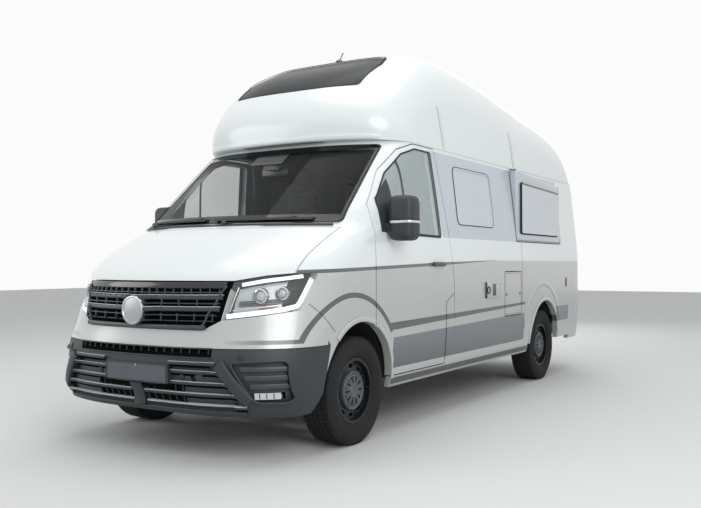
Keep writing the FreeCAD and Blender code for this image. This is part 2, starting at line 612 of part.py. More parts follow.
def make_cab_doors():
    """Cab doors with their window openings, handles, glass and mirrors."""
    for side, sign in SIDES.items():
        cuts = [side_prism(CAB_WINDOW_SHARES, sign, 0, size.glass_round),
                arch_tool(size.front_axle_at, size.front_arch_top, size.arch_radius, sign),
                side_prism(FUEL_NOTCH_SHARES, sign)]
        door = largest(panel(side_prism(CAB_DOOR_SHARES, sign), size.door_wall, *cuts))
        rear = station(size.handle_rear_at)
        x_range = sorted((sign * (size.body_width / 2 - size.panel_wall / 2),
                          sign * (size.body_width / 2 + size.handle_depth)))
        handle = slab(x_range, (rear - size.handle_length, rear),
                      (size.handle_up - size.handle_height, size.handle_up))
        handle = handle.makeFillet(size.handle_round, handle.Edges)
        shaped(f"cab_door_{side}", door.fuse(handle))
        pane = side_prism(CAB_WINDOW_SHARES, sign, -size.seat_gap, size.glass_round)
        glass = panel(pane, size.glass_wall)
        shaped(f"door_glass_{side}", largest(glass))
        shaped(f"mirror_{side}", mirror_shape(sign))


def mirror_shape(sign):
    """A door mirror: foot on the door's front corner, two arms and the housing."""
    front = station(size.mirror_at)
    housing = slab((size.mirror_inner, size.mirror_half), (front, front + size.mirror_depth),
                   (size.mirror_bottom, size.mirror_top))
    housing = housing.makeFillet(size.mirror_round, housing.Edges)
    foot_front = station(size.mirror_foot_front_at)
    root = size.body_width / 2 - 2 * size.panel_wall
    foot_low = size.mirror_bottom + size.mirror_round
    foot_high = size.mirror_top - 2 * size.mirror_round
    foot = slab((root, size.mirror_inner - size.mirror_foot_inset),
                (foot_front, foot_front + size.mirror_foot_length), (foot_low, foot_high))
    shape = housing.fuse(foot)
    for low in (foot_low, foot_high - size.mirror_arm_height):
        arm = slab((root, size.mirror_inner + size.mirror_round),
                   (front + size.mirror_round, front + size.mirror_round + size.mirror_arm_depth),
                   (low, low + size.mirror_arm_height))
        shape = shape.fuse(arm)
    shape = largest(shape.cut(OUTER))
    if sign < 0:
        shape = shape.mirror(Vector(0, 0, 0), Vector(1, 0, 0))
    return shape


def make_sides():
    """Side walls, the sliding door, window pods, panes and the service flap."""
    panes, pods = [], []
    for side, sign in SIDES.items():
        x_range = sorted((0, sign * size.body_width))
        region = slab(x_range, (station(size.cab_frame_rear_at + size.joint_gap), size.body_length),
                      (size.wall_bottom, size.waist))
        door_space = side_prism(CAB_DOOR_SHARES, sign, size.seam)
        door_space = door_space.cut(side_prism(FUEL_NOTCH_SHARES, sign, -size.seam))
        cuts = [door_space, side_prism(POD_SHARES, sign), rear_door_space(size.seam),
                arch_tool(size.front_axle_at + size.wheelbase, size.rear_arch_top, size.arch_radius, sign),
                rear_bumper_space(size.joint_gap), tail_lamp_space(sign, size.joint_gap)]
        if sign > 0:
            cuts.append(side_prism(MID_WINDOW_SHARES, sign, 0, size.glass_round))
            cuts.append(side_prism(FLAP_SHARES, sign, size.seam, size.flap_round))
        else:
            cuts.append(side_prism(SLIDING_DOOR_SHARES, sign, size.joint_gap))
        wall = largest(panel(region, size.panel_wall, *cuts))
        edge = station(size.cab_stop_at)
        z_range = (size.cab_stop_height, size.cab_stop_height + size.stop_height)
        stop = door_stop(edge - 2 * size.stop_height, edge, edge + size.stop_height, z_range, sign)
        wall = wall.fuse(stop)
        if sign > 0:
            wall = wall.fuse(flap_stop())
        shaped(f"side_wall_{side}", largest(wall))
        panes.append(largest(panel(side_prism(MID_WINDOW_SHARES, sign, -size.seat_gap, size.glass_round),
                                   size.glass_wall)))
        pods.append(pod_shape(sign))
        panes.append(pod_pane(sign))
    shaped("side_windows", Part.makeCompound(panes))
    shaped("side_pods", Part.makeCompound(pods))
    slider = panel(side_prism(SLIDING_DOOR_SHARES, -1), size.panel_wall,
                   side_prism(MID_WINDOW_SHARES, -1, 0, size.glass_round))
    shaped("sliding_door", largest(slider))
    flap = panel(side_prism(FLAP_SHARES, 1, 0, size.flap_round), size.panel_wall)
    shaped("service_flap", largest(flap))


def flap_stop():
    """Stop above the service flap, on the wall behind its upper edge."""
    top = FLAP_SHARES[2][1] * size.body_height
    y_low = station(FLAP_SHARES[0][0] * size.body_length) + size.stop_height
    half = size.body_width / 2
    x_range = (half - 2 * size.door_wall, half)
    y_range = (y_low, y_low + 2 * size.stop_height)
    reach = carried_by(slab(x_range, y_range, (top - size.stop_height, top + size.stop_height)),
                       size.panel_wall)
    root = slab(x_range, y_range, (top + 2 * size.seam, top + size.stop_height))
    return reach.fuse(root.common(inner(size.panel_wall / 2)))


def pod_outline(sign, shares, low, high, grow=0, round_radius=0):
    """A side outline pushed between two distances from the centre line."""
    ends = (Vector(sign * low, 0, 0), Vector(sign * high, 0, 0))
    return prism(side_points(shares), *ends, grow, round_radius)


def pod_shape(sign):
    """One bulge in the side wall that lengthens the bed, with its window opening."""
    low = size.pod_out - size.pod_depth
    shell = pod_outline(sign, POD_SHARES, low, size.pod_out)
    outer_face = [e for e in shell.Edges if abs(abs(e.CenterOfMass.x) - size.pod_out) < size.seat_gap]
    shell = shell.makeFillet(size.pod_edge, outer_face)
    hollow = pod_outline(sign, POD_SHARES, low - size.overrun, size.pod_out - size.pod_wall,
                         -size.pod_wall)
    hole = pod_outline(sign, POD_WINDOW_SHARES, low, size.pod_out + size.overrun,
                       -size.window_rebate, size.glass_round)
    return shell.cut(hollow).cut(hole)


def pod_pane(sign):
    """The top-hung window that stands proud of a pod."""
    return pod_outline(sign, POD_WINDOW_SHARES, size.pod_out, size.pod_out + size.window_proud,
                       0, size.glass_round)


def rear_door_space(grow=0):
    """The opening in the tail that the rear doors fill."""
    half = size.rear_door_half + grow
    return slab((-half, half), (size.body_length / 2 - size.rear_door_depth, size.body_length),
                (size.rear_door_bottom - grow, size.rear_door_top + grow))


def rear_bumper_space(grow=0):
    """The band round the tail's foot that the rear bumper fills."""
    return slab((-size.body_width, size.body_width),
                (station(size.rear_bumper_front_at) - grow, size.body_length),
                (size.rear_bumper_bottom - size.panel_wall, size.rear_bumper_top + grow))


def tail_lamp_space(sign, grow=0):
    """The upright corner that one tail lamp fills."""
    x_range = sorted((sign * (size.tail_lamp_inner - grow), sign * size.body_width))
    return slab(x_range, (station(size.tail_lamp_front_at) - grow, size.body_length),
                (size.tail_lamp_bottom - grow, size.tail_lamp_top + grow))


def make_tail():
    """Rear doors, their glass, bumper and lamps."""
    for side, sign in SIDES.items():
        x_range = sorted((sign * size.seam / 2, sign * size.body_width))
        half_space = slab(x_range, (0, size.body_length), (0, size.body_height))
        points = [Vector(sign * p.x, p.y, p.z) for p in front_points(REAR_WINDOW_SHARES)]
        low = Vector(0, size.body_length / 2 - size.rear_corner_depth, 0)
        high = Vector(0, size.body_length / 2 + size.panel_wall, 0)
        opening = prism(points, low, high, 0, size.glass_round)
        door = panel(rear_door_space().common(half_space), size.door_wall, opening)
        shaped(f"rear_door_{side}", largest(door))
        glass = panel(prism(points, low, high, -size.seat_gap, size.glass_round), size.glass_wall)
        shaped(f"rear_glass_{side}", largest(glass))
    lamps = [largest(panel(tail_lamp_space(s), size.tail_lamp_wall)) for s in SIDES.values()]
    shaped("tail_lamps", Part.makeCompound(lamps))
    band = slab((-size.body_width, size.body_width), (0, size.body_length),
                (size.rear_bumper_bottom, size.rear_bumper_top))
    bumper = panel(rear_bumper_space().common(band), size.panel_wall)
    shaped("rear_bumper", largest(bumper))


def make_roof():
    """Moulded high roof with its front window, lid frame and lid, and the aerial."""
    inside = roof_envelope(size.roof_wall, size.overrun)
    shell = ROOF.cut(inside)
    lip = ROOF.common(slab((-size.body_width, size.body_width), (-size.body_length, size.body_length),
                           (size.waist, size.waist + size.lip_wall)))
    lip = lip.cut(section_prism(size.waist, size.lip_width, size.waist - size.overrun,
                                size.waist + size.lip_wall + size.overrun))
    window = front_prism(ROOF_WINDOW_SHARES, 0, size.glass_round, size.roof_window_rear_at)
    pane = front_prism(ROOF_WINDOW_SHARES, -size.seat_gap, size.glass_round,
                       size.roof_window_rear_at - size.seat_gap)
    opening = hatch_space(-size.hatch_frame)
    lifted = ROOF.copy()
    lifted.translate(Vector(0, 0, size.hatch_rise))
    frame = lifted.common(hatch_space()).cut(ROOF).cut(opening)
    roof = shell.cut(window).cut(opening).fuse(frame).fuse(lip)
    for sign in SIDES.values():
        roof = roof.cut(pod_outline(sign, POD_SHARES, 0, size.body_width))
    shaped("high_roof", largest(roof))
    shaped("roof_window", largest(ROOF.common(pane).cut(roof_envelope(size.glass_wall, size.overrun))))
    under, over = ROOF.copy(), ROOF.copy()
    under.translate(Vector(0, 0, size.hatch_rise + size.seat_gap))
    over.translate(Vector(0, 0, size.hatch_rise + size.hatch_wall))
    shaped("roof_hatch", largest(over.cut(under).common(hatch_space())))


def hatch_space(grow=0):
    """The roof lid's outline as an upright column."""
    front = station(size.hatch_front_at)
    return slab((-size.hatch_half - grow, size.hatch_half + grow),
                (front - grow, front + size.hatch_length + grow),
                (size.waist + size.lip_wall + size.overrun, size.body_height + size.hatch_wall))


def make_floor():
    """Load floor, bulkhead and wheel-arch liners."""
    levels = (size.floor_top - size.floor_wall, size.floor_top)
    wide = (-size.body_width, size.body_width)
    joint = station(size.cab_stop_at)
    cab = slab(wide, (station(size.bulkhead_at + size.bulkhead_wall), joint), levels)
    rear = slab(wide, (joint, station(size.floor_rear)), levels)
    floor = carried_by(cab, size.door_wall).fuse(carried_by(rear, size.panel_wall))
    liners = []
    arches = [(size.front_axle_at, size.front_arch_top),
              (size.front_axle_at + size.wheelbase, size.rear_arch_top)]
    radius = size.liner_radius
    for at, top in arches:
        level = top - size.arch_radius
        for sign in SIDES.values():
            base = Vector(sign * size.liner_inner, station(at), level)
            length = size.liner_outer - size.liner_inner
            outer_drum = Part.makeCylinder(radius, length, base, Vector(sign, 0, 0))
            inner_drum = Part.makeCylinder(radius - size.liner_wall, length, base, Vector(sign, 0, 0))
            upper = slab(wide, (-size.body_length, size.body_length), (level, size.waist))
            liners.append(outer_drum.cut(inner_drum).common(upper))
            clear = Part.makeCylinder(radius + size.seat_gap, size.body_width, base, Vector(sign, 0, 0))
            floor = floor.cut(clear)
    tail = station(size.floor_rear)
    post = slab((-size.stop_height, size.stop_height), (tail - size.stop_height, size.body_length),
                (size.floor_top - size.floor_wall, size.floor_top + size.stop_height))
    floor = floor.fuse(carried_by(post, size.door_wall))
    shaped("floor_pan", largest(floor))
    shaped("wheelhouse_liners", Part.makeCompound(liners))
    plate = slab((-size.bulkhead_half, size.bulkhead_half),
                 (station(size.bulkhead_at), station(size.bulkhead_at + size.bulkhead_wall)),
                 (size.bulkhead_shoulder, size.bulkhead_top))
    leg = slab((-size.bulkhead_leg, size.bulkhead_leg),
               (station(size.bulkhead_at), station(size.bulkhead_at + size.bulkhead_wall)),
               (size.floor_top - size.floor_wall, size.bulkhead_shoulder))
    shaped("bulkhead", plate.fuse(leg))


def make_sills():
    """Lower edge covers along both sides."""
    arches = ((size.front_axle_at, size.front_arch_top),
              (size.front_axle_at + size.wheelbase, size.rear_arch_top))
    strips = []
    for sign in SIDES.values():
        region = slab(sorted((0, sign * size.body_width)),
                      (station(size.sill_front_at), station(size.sill_rear_at)),
                      (size.sill_bottom, size.wall_bottom - size.joint_gap))
        cuts = [arch_tool(at, top, size.arch_radius, sign) for at, top in arches]
        strips.append(largest(panel(region, size.sill_wall, *cuts)))
    shaped("sill_trims", Part.makeCompound(strips))


def worked_out(text):
    """The value of an expression in the sheet's sizes."""
    work_sheet.set("A1", "=" + cell_text(text))
    work_sheet.recompute()
    return float(work_sheet.get("A1"))


def turned(name, corners):
    """A body of revolution about X: corners are distance along the axle and radius."""
    body = document.addObject("PartDesign::Body", name)
    sketch = body.newObject("Sketcher::SketchObject", name + "_profile")
    plane = next(f for f in body.Origin.OriginFeatures if f.Role == "XY_Plane")
    sketch.AttachmentSupport = [(plane, "")]
    sketch.MapMode = "FlatFace"
    places = [Vector(worked_out(u), worked_out(r), 0) for u, r in corners]
    count = len(places)
    for index, place in enumerate(places):
        sketch.addGeometry(Part.LineSegment(place, places[(index + 1) % count]), False)
    for index in range(count):
        sketch.addConstraint(Sketcher.Constraint("Coincident", index, 2, (index + 1) % count, 1))
    for index, (along, radius) in enumerate(corners):
        place = places[index]
        for kind, text, value in (("DistanceX", along, place.x), ("DistanceY", radius, place.y)):
            number = sketch.addConstraint(Sketcher.Constraint(kind, -1, 1, index, 1, value))
            sketch.setExpression(f"Constraints[{number}]", cell_text(text))
    revolution = body.newObject("PartDesign::Revolution", name + "_turn")
    revolution.Profile = sketch
    revolution.ReferenceAxis = (sketch, ["H_Axis"])
    revolution.Angle = 360
    document.recompute()
    return body


FRONT_AXLE_Y = "-body_length / 2 + front_axle_at"
REAR_AXLE_Y = FRONT_AXLE_Y + " + wheelbase"
AXLES = {"front": FRONT_AXLE_Y, "rear": REAR_AXLE_Y}
RIM_INNER = "(tyre_width - rim_width) / 2"
RIM_OUTER = "(tyre_width + rim_width) / 2"
HUB_OUT = "track / 2 - tyre_width / 2 + (tyre_width + rim_width) / 2 - disc_offset + disc_dish"
DISC = RIM_OUTER + " - disc_offset"
BARREL = "rim_seat_diameter / 2 - barrel_wall"
SEAT = "rim_seat_diameter / 2"
RIM_CORNERS = [
    (RIM_INNER, "rim_diameter / 2"), (RIM_INNER + " + rim_flange", "rim_diameter / 2"),
    (RIM_INNER + " + rim_flange", SEAT), (RIM_OUTER + " - rim_flange", SEAT),
    (RIM_OUTER + " - rim_flange", "rim_diameter / 2"), (RIM_OUTER, "rim_diameter / 2"),
    (RIM_OUTER, BARREL), (DISC, BARREL), (DISC, "nave_radius"),
    (DISC + " + disc_dish", "hub_diameter / 2"), (DISC + " + disc_dish", "hub_bore / 2"),
    (DISC + " + disc_dish - disc_wall", "hub_bore / 2"),
    (DISC + " + disc_dish - disc_wall", "hub_diameter / 2 + disc_wall / 2"),
    (DISC + " - disc_wall", "nave_radius + disc_wall / 2"), (DISC + " - disc_wall", BARREL),
    (RIM_INNER, BARREL),
]
TYRE_CORNERS = [
    (RIM_INNER + " + rim_flange", SEAT), (RIM_INNER + " + rim_flange", "rim_diameter / 2 + seat_gap"),
    ("0", "sidewall_bulge_diameter / 2"), ("tread_drop / 2", "tyre_diameter / 2 - shoulder_drop"),
    ("(tyre_width - tread_width) / 2", "tyre_diameter / 2"),
    ("(tyre_width + tread_width) / 2", "tyre_diameter / 2"),
    ("tyre_width - tread_drop / 2", "tyre_diameter / 2 - shoulder_drop"),
    ("tyre_width", "sidewall_bulge_diameter / 2"),
    (RIM_OUTER + " - rim_flange", "rim_diameter / 2 + seat_gap"), (RIM_OUTER + " - rim_flange", SEAT),
    (RIM_OUTER + " - rim_flange - tyre_wall", SEAT),
    ("tyre_width - tyre_wall", "sidewall_bulge_diameter / 2"),
    ("(tyre_width + tread_width) / 2 - tyre_wall", "tyre_diameter / 2 - tyre_wall"),
    ("(tyre_width - tread_width) / 2 + tyre_wall", "tyre_diameter / 2 - tyre_wall"),
    ("tyre_wall", "sidewall_bulge_diameter / 2"), (RIM_INNER + " + rim_flange + tyre_wall", SEAT),
]


def make_wheels():
    """Four steel wheels and tyres, turned about their axles."""
    for end, axle_y in AXLES.items():
        for kind, corners in (("rim", RIM_CORNERS), ("tyre", TYRE_CORNERS)):
            body = turned(f"{kind}_{end}_body", corners)
            body.setExpression("Placement.Base.x", cell_text("track / 2 - tyre_width / 2"))
            body.setExpression("Placement.Base.y", cell_text(axle_y))
            body.setExpression("Placement.Base.z", cell_text("tyre_diameter / 2"))
            keep(f"{kind}_{end}_left", body)
            keep(f"{kind}_{end}_right", mirrored(body))


def make_front_suspension():
    """Subframe, lower arms and strut links, and the two steered uprights."""
    y, z = FRONT_AXLE_Y, "tyre_diameter / 2"
    subframe = block("subframe", ("-rail_inner - rail_width", y + " - subframe_depth / 2",
                                  "subframe_bottom"),
                     ("2 * (rail_inner + rail_width)", "subframe_depth", "subframe_height"))
    arm_length = "kingpin_half_track + arm_width / 2 - arm_inner"
    arm = block("lower_arm", ("arm_inner", y + " - arm_width / 2", "subframe_bottom - arm_height"),
                (arm_length, "arm_width", "arm_height"))
    link = block("upper_link", ("strut_at - strut_radius", y + " - arm_width / 2", "strut_foot"),
                 ("kingpin_half_track + arm_width / 2 - strut_at + strut_radius", "arm_width",
                  "arm_height"))
    pin_bore = rod("pin_bore", "kingpin_radius + seat_gap", "strut_top",
                   ("kingpin_half_track", y, "0"), (0, 0, 1))
    strut = rod("strut", "strut_radius", "strut_top - strut_foot",
                ("strut_at", y, "strut_foot"), (0, 0, 1))
    tower = block("tower", ("rail_inner", y + " - strut_radius", "rail_bottom + rail_height"),
                  ("strut_at - rail_inner", "2 * strut_radius", "arm_height"))
    post = block("post", ("rail_inner", y + " - subframe_depth / 2", "subframe_bottom + subframe_height"),
                 ("rail_width", "subframe_depth", "rail_bottom - subframe_bottom - subframe_height"))
    side = joined("suspension_side", [cut_from("lower_arm_bored", arm, pin_bore),
                                      cut_from("upper_link_bored", link, pin_bore),
                                      strut, tower, post])
    keep("front_suspension", joined("front_suspension_all", [subframe, side, mirrored(side)]))
    upright = block("upright", ("kingpin_half_track - upright_width / 2", y + " - upright_depth / 2",
                                z + " - upright_height / 2"),
                    ("upright_width", "upright_depth", "upright_height"))
    pin = rod("kingpin", "kingpin_radius", "strut_foot + arm_height - subframe_bottom + arm_height",
              ("kingpin_half_track", y, "subframe_bottom - arm_height"), (0, 0, 1))
    disc = rod("brake_disc", "brake_disc_radius", "brake_disc_wall", ("brake_disc_at", y, z), (1, 0, 0))
    spindle = rod("spindle", "hub_bore / 2 - seat_gap", HUB_OUT + " - kingpin_half_track",
                  ("kingpin_half_track", y, z), (1, 0, 0))
    knuckle = joined("knuckle_body", [upright, pin, disc, spindle])
    keep("knuckle_left", knuckle)
    keep("knuckle_right", mirrored(knuckle))


def make_rear_axle():
    """Beam axle with drums and stub shafts on two leaf springs."""
    y, z = REAR_AXLE_Y, "tyre_diameter / 2"
    beam = rod("beam", "beam_radius", "2 * beam_half", ("-beam_half", y, z), (1, 0, 0))
    drum = rod("drum", "drum_radius", "drum_width", ("beam_half", y, z), (1, 0, 0))
    stub = rod("stub", "hub_bore / 2 - seat_gap", HUB_OUT + " - beam_half",
               ("beam_half", y, z), (1, 0, 0))
    leaf = block("leaf", ("rail_inner", y + " - spring_length / 2", z + " + beam_radius - spring_bite"),
                 ("spring_width", "spring_length", "spring_leaf"))
    hangers = []
    places = {"front": " - spring_length / 2", "rear": " + spring_length / 2 - hanger_length"}
    low = z + " + beam_radius - spring_bite + spring_leaf"
    for end, at in places.items():
        name = f"hanger_{end}"
        hangers.append(block(name, ("rail_inner", y + at, low),
                             ("spring_width", "hanger_length", f"rail_bottom - ({low})")))
    side = joined("axle_side", [drum, stub, leaf] + hangers)
    keep("rear_axle", joined("rear_axle_all", [beam, side, mirrored(side)]))


def make_chassis():
    """Two rails with cross members, the towing-eye socket and tow-bar plates."""
    rail = block("rail", ("rail_inner", "-body_length / 2 + rail_front", "rail_bottom"),
                 ("rail_width", "rail_rear - rail_front", "rail_height"))
    plate = block("tow_plate", ("rail_inner - (tow_plate_width - rail_width) / 2",
                                "-body_length / 2 + rail_rear",
                                "rail_bottom - (tow_plate_height - rail_height)"),
                  ("tow_plate_width", "tow_plate_wall", "tow_plate_height"))
    middle = "rail_bottom + rail_height - tow_plate_height / 2"
    holes = [rod(f"tow_hole_{end}", "tow_hole / 2", "4 * tow_plate_wall",
                 ("rail_inner + rail_width / 2", "-body_length / 2 + rail_rear - tow_plate_wall",
                  f"{middle} {sign} tow_hole_pitch / 2"), (0, 1, 0))
             for end, sign in (("low", "-"), ("high", "+"))]
    drilled = cut_from("tow_plate_drilled", plate, grouped("tow_holes", holes))
    side = joined("rail_side", [rail, drilled])
    crosses = []
    for index in range(int(size.cross_count)):
        at = f"-body_length / 2 + cross_front + {index} * cross_pitch"
        crosses.append(block(f"cross_{index}", ("-rail_inner", at, "rail_bottom + cross_drop"),
                             ("2 * rail_inner", "cross_width", "rail_height - 2 * cross_drop")))
    boss_y = "-body_length / 2 + tow_eye_front"
    boss = rod("eye_boss", "tow_eye_boss / 2", "rail_front - tow_eye_front",
               ("tow_eye_at", boss_y, "tow_eye_height"), (0, 1, 0))
    bore = rod("eye_bore", "tow_eye_bore / 2", "tow_eye_depth",
               ("tow_eye_at", boss_y, "tow_eye_height"), (0, 1, 0))
    socket = cut_from("eye_socket", boss, bore)
    keep("chassis_rails", grouped("chassis_all", [side, mirrored(side)] + crosses + [socket]))


def make_underfloor():
    """Engine and gearbox as plain blocks, tanks and the exhaust."""
    front = "-body_length / 2 + cross_front + cross_width"
    engine = block("engine", ("-engine_half", front, "engine_bottom"),
                   ("2 * engine_half", "engine_depth", "engine_height"))
    gearbox = block("gearbox", ("-gearbox_half", front + " + engine_depth", "gearbox_bottom"),
                    ("2 * gearbox_half", "gearbox_depth", "gearbox_height"))
    keep("engine_block", joined("engine_all", [engine, gearbox]))
    fuel = block("fuel_tank", ("tank_inner", "-body_length / 2 + tank_front_at",
                               "floor_top - floor_wall - tank_height"),
                 ("tank_outer - tank_inner", "tank_length", "tank_height"))
    water = block("water_tank", ("-water_tank_half", "-body_length / 2 + water_tank_front_at",
                                 "rail_bottom - tank_height"),
                  ("2 * water_tank_half", "water_tank_length", "tank_height"))
    strap = block("tank_strap", ("-rail_inner - rail_width",
                                 "-body_length / 2 + water_tank_front_at + cross_width",
                                 "rail_bottom - spring_leaf"),
                  ("2 * (rail_inner + rail_width)", "cross_width", "spring_leaf"))
    keep("underfloor_tanks", grouped("tanks", [fuel, joined("water_side", [water, strap])]))
    pipe = rod("pipe", "exhaust_radius", "exhaust_rear_at - exhaust_front_at",
               ("-exhaust_out", "-body_length / 2 + exhaust_front_at", "exhaust_height"), (0, 1, 0))
    silencer = rod("silencer", "silencer_radius", "silencer_length",
                   ("-exhaust_out", "-body_length / 2 + silencer_front_at", "exhaust_height"), (0, 1, 0))
    hanger = block("exhaust_hanger", ("-exhaust_out - spring_leaf / 2",
                                      "-body_length / 2 + silencer_front_at + cross_width",
                                      "exhaust_height"),
                   ("spring_leaf", "cross_width", "floor_top - floor_wall - exhaust_height"))
    keep("exhaust", joined("exhaust_all", [pipe, silencer, hanger]))


def leaned(shape, centre):
    """A shape drawn level, turned to the steering column's rake."""
    shape.rotate(centre, Vector(1, 0, 0), -size.steer_rake)
    return shape


def make_cab_inside():
    """Dashboard with column, steering wheel and the cab seats."""
    front = station(size.bulkhead_at + size.bulkhead_wall)
    dash_points = [Vector(0, front, size.dash_bottom),
                   Vector(0, front + size.dash_depth / 2, size.dash_bottom),
                   Vector(0, front + size.dash_depth, (size.dash_bottom + size.dash_top) / 2),
                   Vector(0, front + size.dash_depth - size.dash_roll, size.dash_top),
                   Vector(0, front, size.dash_top)]
    dash = prism(dash_points, Vector(-size.dash_half, 0, 0), Vector(size.dash_half, 0, 0))
    dash = carried_by(dash, size.frame_wall)
    centre = Vector(size.column_at, station(size.steer_wheel_at), size.steer_wheel_height)
    boss = Part.makeCylinder(size.wheel_boss_radius, size.wheel_boss_height, centre)
    ring = Part.makeTorus(size.wheel_rim_radius, size.wheel_grip_radius,
                          centre + Vector(0, 0, size.wheel_boss_height))
    spokes = []
    corner = centre + Vector(0, -size.spoke_width / 2, size.wheel_boss_height - size.spoke_wall)
    for turn in (0, 90, 180):
        spoke = Part.makeBox(size.wheel_rim_radius, size.spoke_width, size.spoke_wall, corner)
        spoke.rotate(centre, Vector(0, 0, 1), -turn)
        spokes.append(spoke)
    shaped("steering_wheel", leaned(boss.multiFuse([ring] + spokes), centre))
    column = Part.makeCylinder(size.column_radius, size.column_length,
                               centre - Vector(0, 0, size.column_length + size.seat_gap))
    shaped("dashboard", largest(dash.fuse(leaned(column, centre))))
    seats = [seat_shape(sign * size.seat_centre, size.seat_half_width, size.seat_at)
             for sign in SIDES.values()]
    seats.append(seat_shape(size.bench_inner + size.bench_half, size.bench_half, size.bench_front_at))
    shaped("seats", Part.makeCompound(seats))


def seat_shape(centre, half, front_at):
    """A seat: pedestal, cushion, raked back and headrest."""
    front = station(front_at)
    top = size.floor_top + size.seat_base_height + size.seat_cushion
    base_half = half - size.seat_base_inset
    base = slab((centre - base_half, centre + base_half),
                (front + size.back_wall / 2, front + size.seat_depth),
                (size.floor_top, size.floor_top + size.seat_base_height))
    across = (centre - half, centre + half)
    cushion = slab(across, (front, front + size.seat_depth), (top - size.seat_cushion, top))
    cushion = cushion.makeFillet(size.seat_cushion / 4, cushion.Edges)
    back_low = top - size.seat_cushion / 2
    rest_y = front + size.seat_depth
    back = slab(across, (rest_y - size.back_wall / 2, rest_y + size.back_wall / 2),
                (back_low, back_low + size.back_height))
    back = back.makeFillet(size.back_wall / 4, back.Edges)
    rest_low = back_low + size.back_height + size.headrest_lift
    rest = slab((centre - size.headrest_width / 2, centre + size.headrest_width / 2),
                (rest_y - size.headrest_wall / 2, rest_y + size.headrest_wall / 2),
                (rest_low, rest_low + size.headrest_height))
    rest = rest.makeFillet(size.headrest_wall / 4, rest.Edges)
    stem_low = rest_low - size.headrest_lift - size.back_wall / 2
    stems = [Part.makeCylinder(size.wiper_radius, size.headrest_lift + size.back_wall,
                               Vector(centre + side * size.headrest_width / 4, rest_y, stem_low))
             for side in (-1, 1)]
    upper = back.multiFuse([rest] + stems)
    upper.rotate(Vector(centre, rest_y, back_low), Vector(1, 0, 0), -size.back_rake)
    return base.fuse(cushion).fuse(upper)


def make_living_space():
    """Wet room, kitchen block, bed base and mattress."""
    floor, wall = size.floor_top, size.wet_wall
    room = ((size.wet_room_inner, size.wet_room_outer),
            (station(size.wet_room_front_at), station(size.wet_room_rear_at)),
            (floor, size.wet_room_top))
    inside = [(low + wall, high - wall) for low, high in room]
    doorway = slab((size.wet_room_inner - wall, size.wet_room_inner + 2 * wall),
                   (room[1][0] + 2 * wall, room[1][1] - 2 * wall), (floor + 2 * wall, size.door_head))
    flap = side_prism(FLAP_SHARES, 1, -size.seam)
    wet_room = slab(*room).cut(slab(*inside)).cut(doorway).cut(flap)
    kitchen = slab((-size.furniture_out, size.kitchen_inner),
                   (station(size.kitchen_front_at), station(size.kitchen_rear_at)),
                   (floor, size.kitchen_top))
    base_front = slab((-size.furniture_out, size.furniture_out),
                      (station(size.bed_front_at), station(size.bed_front_at) + size.base_front_wall),
                      (floor, size.bed_top - size.bed_board))
    bed_length = (station(size.bed_front_at), station(size.bed_rear_at))
    board = slab((-size.furniture_out, size.furniture_out), bed_length,
                 (size.bed_top - size.bed_board, size.bed_top))
    shaped("furniture", Part.makeCompound([wet_room, kitchen, base_front.fuse(board)]))
    mattress = slab((-size.bed_half, size.bed_half), bed_length,
                    (size.bed_top + size.seat_gap, size.bed_top + size.mattress_wall))
    shaped("mattress", mattress.makeFillet(size.mattress_round, mattress.Edges))


def make_small_pieces():
    """Wipers, aerial and the power inlet's housing on the left side."""
    wiper_rows = ((size.wiper_left_x, size.wiper_left_length),
                  (size.wiper_right_x, size.wiper_right_length))
    skin = body_envelope(-size.wiper_lift)
    wipers = []
    for start, length in wiper_rows:
        strip = slab((start, start + length), (station(0), station(size.nose_depth)),
                     (size.wiper_low, size.wiper_low + size.wiper_blade_width))
        wipers.append(largest(strip.common(skin).cut(OUTER)))
    shaped("wipers", Part.makeCompound(wipers))
    foot = Vector(0, station(size.antenna_at), size.antenna_foot)
    base = Part.makeCone(size.antenna_base_radius, size.antenna_radius * 2,
                         size.antenna_base_height, foot)
    whip = Part.makeCylinder(size.antenna_radius, size.antenna_length, foot)
    whip.rotate(foot, Vector(1, 0, 0), -size.antenna_lean)
    shaped("antenna", largest(base.fuse(whip).cut(ROOF)))
    half = size.body_width / 2
    front = station(size.inlet_front_at)
    inlet = slab((half - size.inlet_proud, half + size.inlet_proud), (front, front + size.inlet_length),
                 (size.inlet_bottom, size.inlet_bottom + size.inlet_height))
    inlet = inlet.makeFillet(size.inlet_round, inlet.Edges)
    shaped("power_inlet", largest(inlet.cut(OUTER)))


make_cab_frame()
make_front()
make_cab_doors()
make_sides()
make_tail()
make_roof()
make_floor()
make_sills()
make_wheels()
make_front_suspension()
make_rear_axle()
make_chassis()
make_underfloor()
make_cab_inside()
make_living_space()
make_small_pieces()

document.recompute()
for item in document.Objects:
    if "Invalid" in item.State or "Error" in item.State:
        raise RuntimeError(f"{item.Label} failed: {item.State}")
for item in nodes:
    if item.Shape.isNull() or not item.Shape.isValid():
        raise RuntimeError(f"{item.Label} has no valid shape")
os.makedirs("parts", exist_ok=True)
for item in nodes:
    item.Shape.exportStep(f"parts/{item.Label}.step")
print(len(nodes), "sub-parts written")
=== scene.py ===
import json
import math
from functools import reduce

import bmesh
import bpy
from mathutils import Matrix, Vector
from mathutils.bvhtree import BVHTree


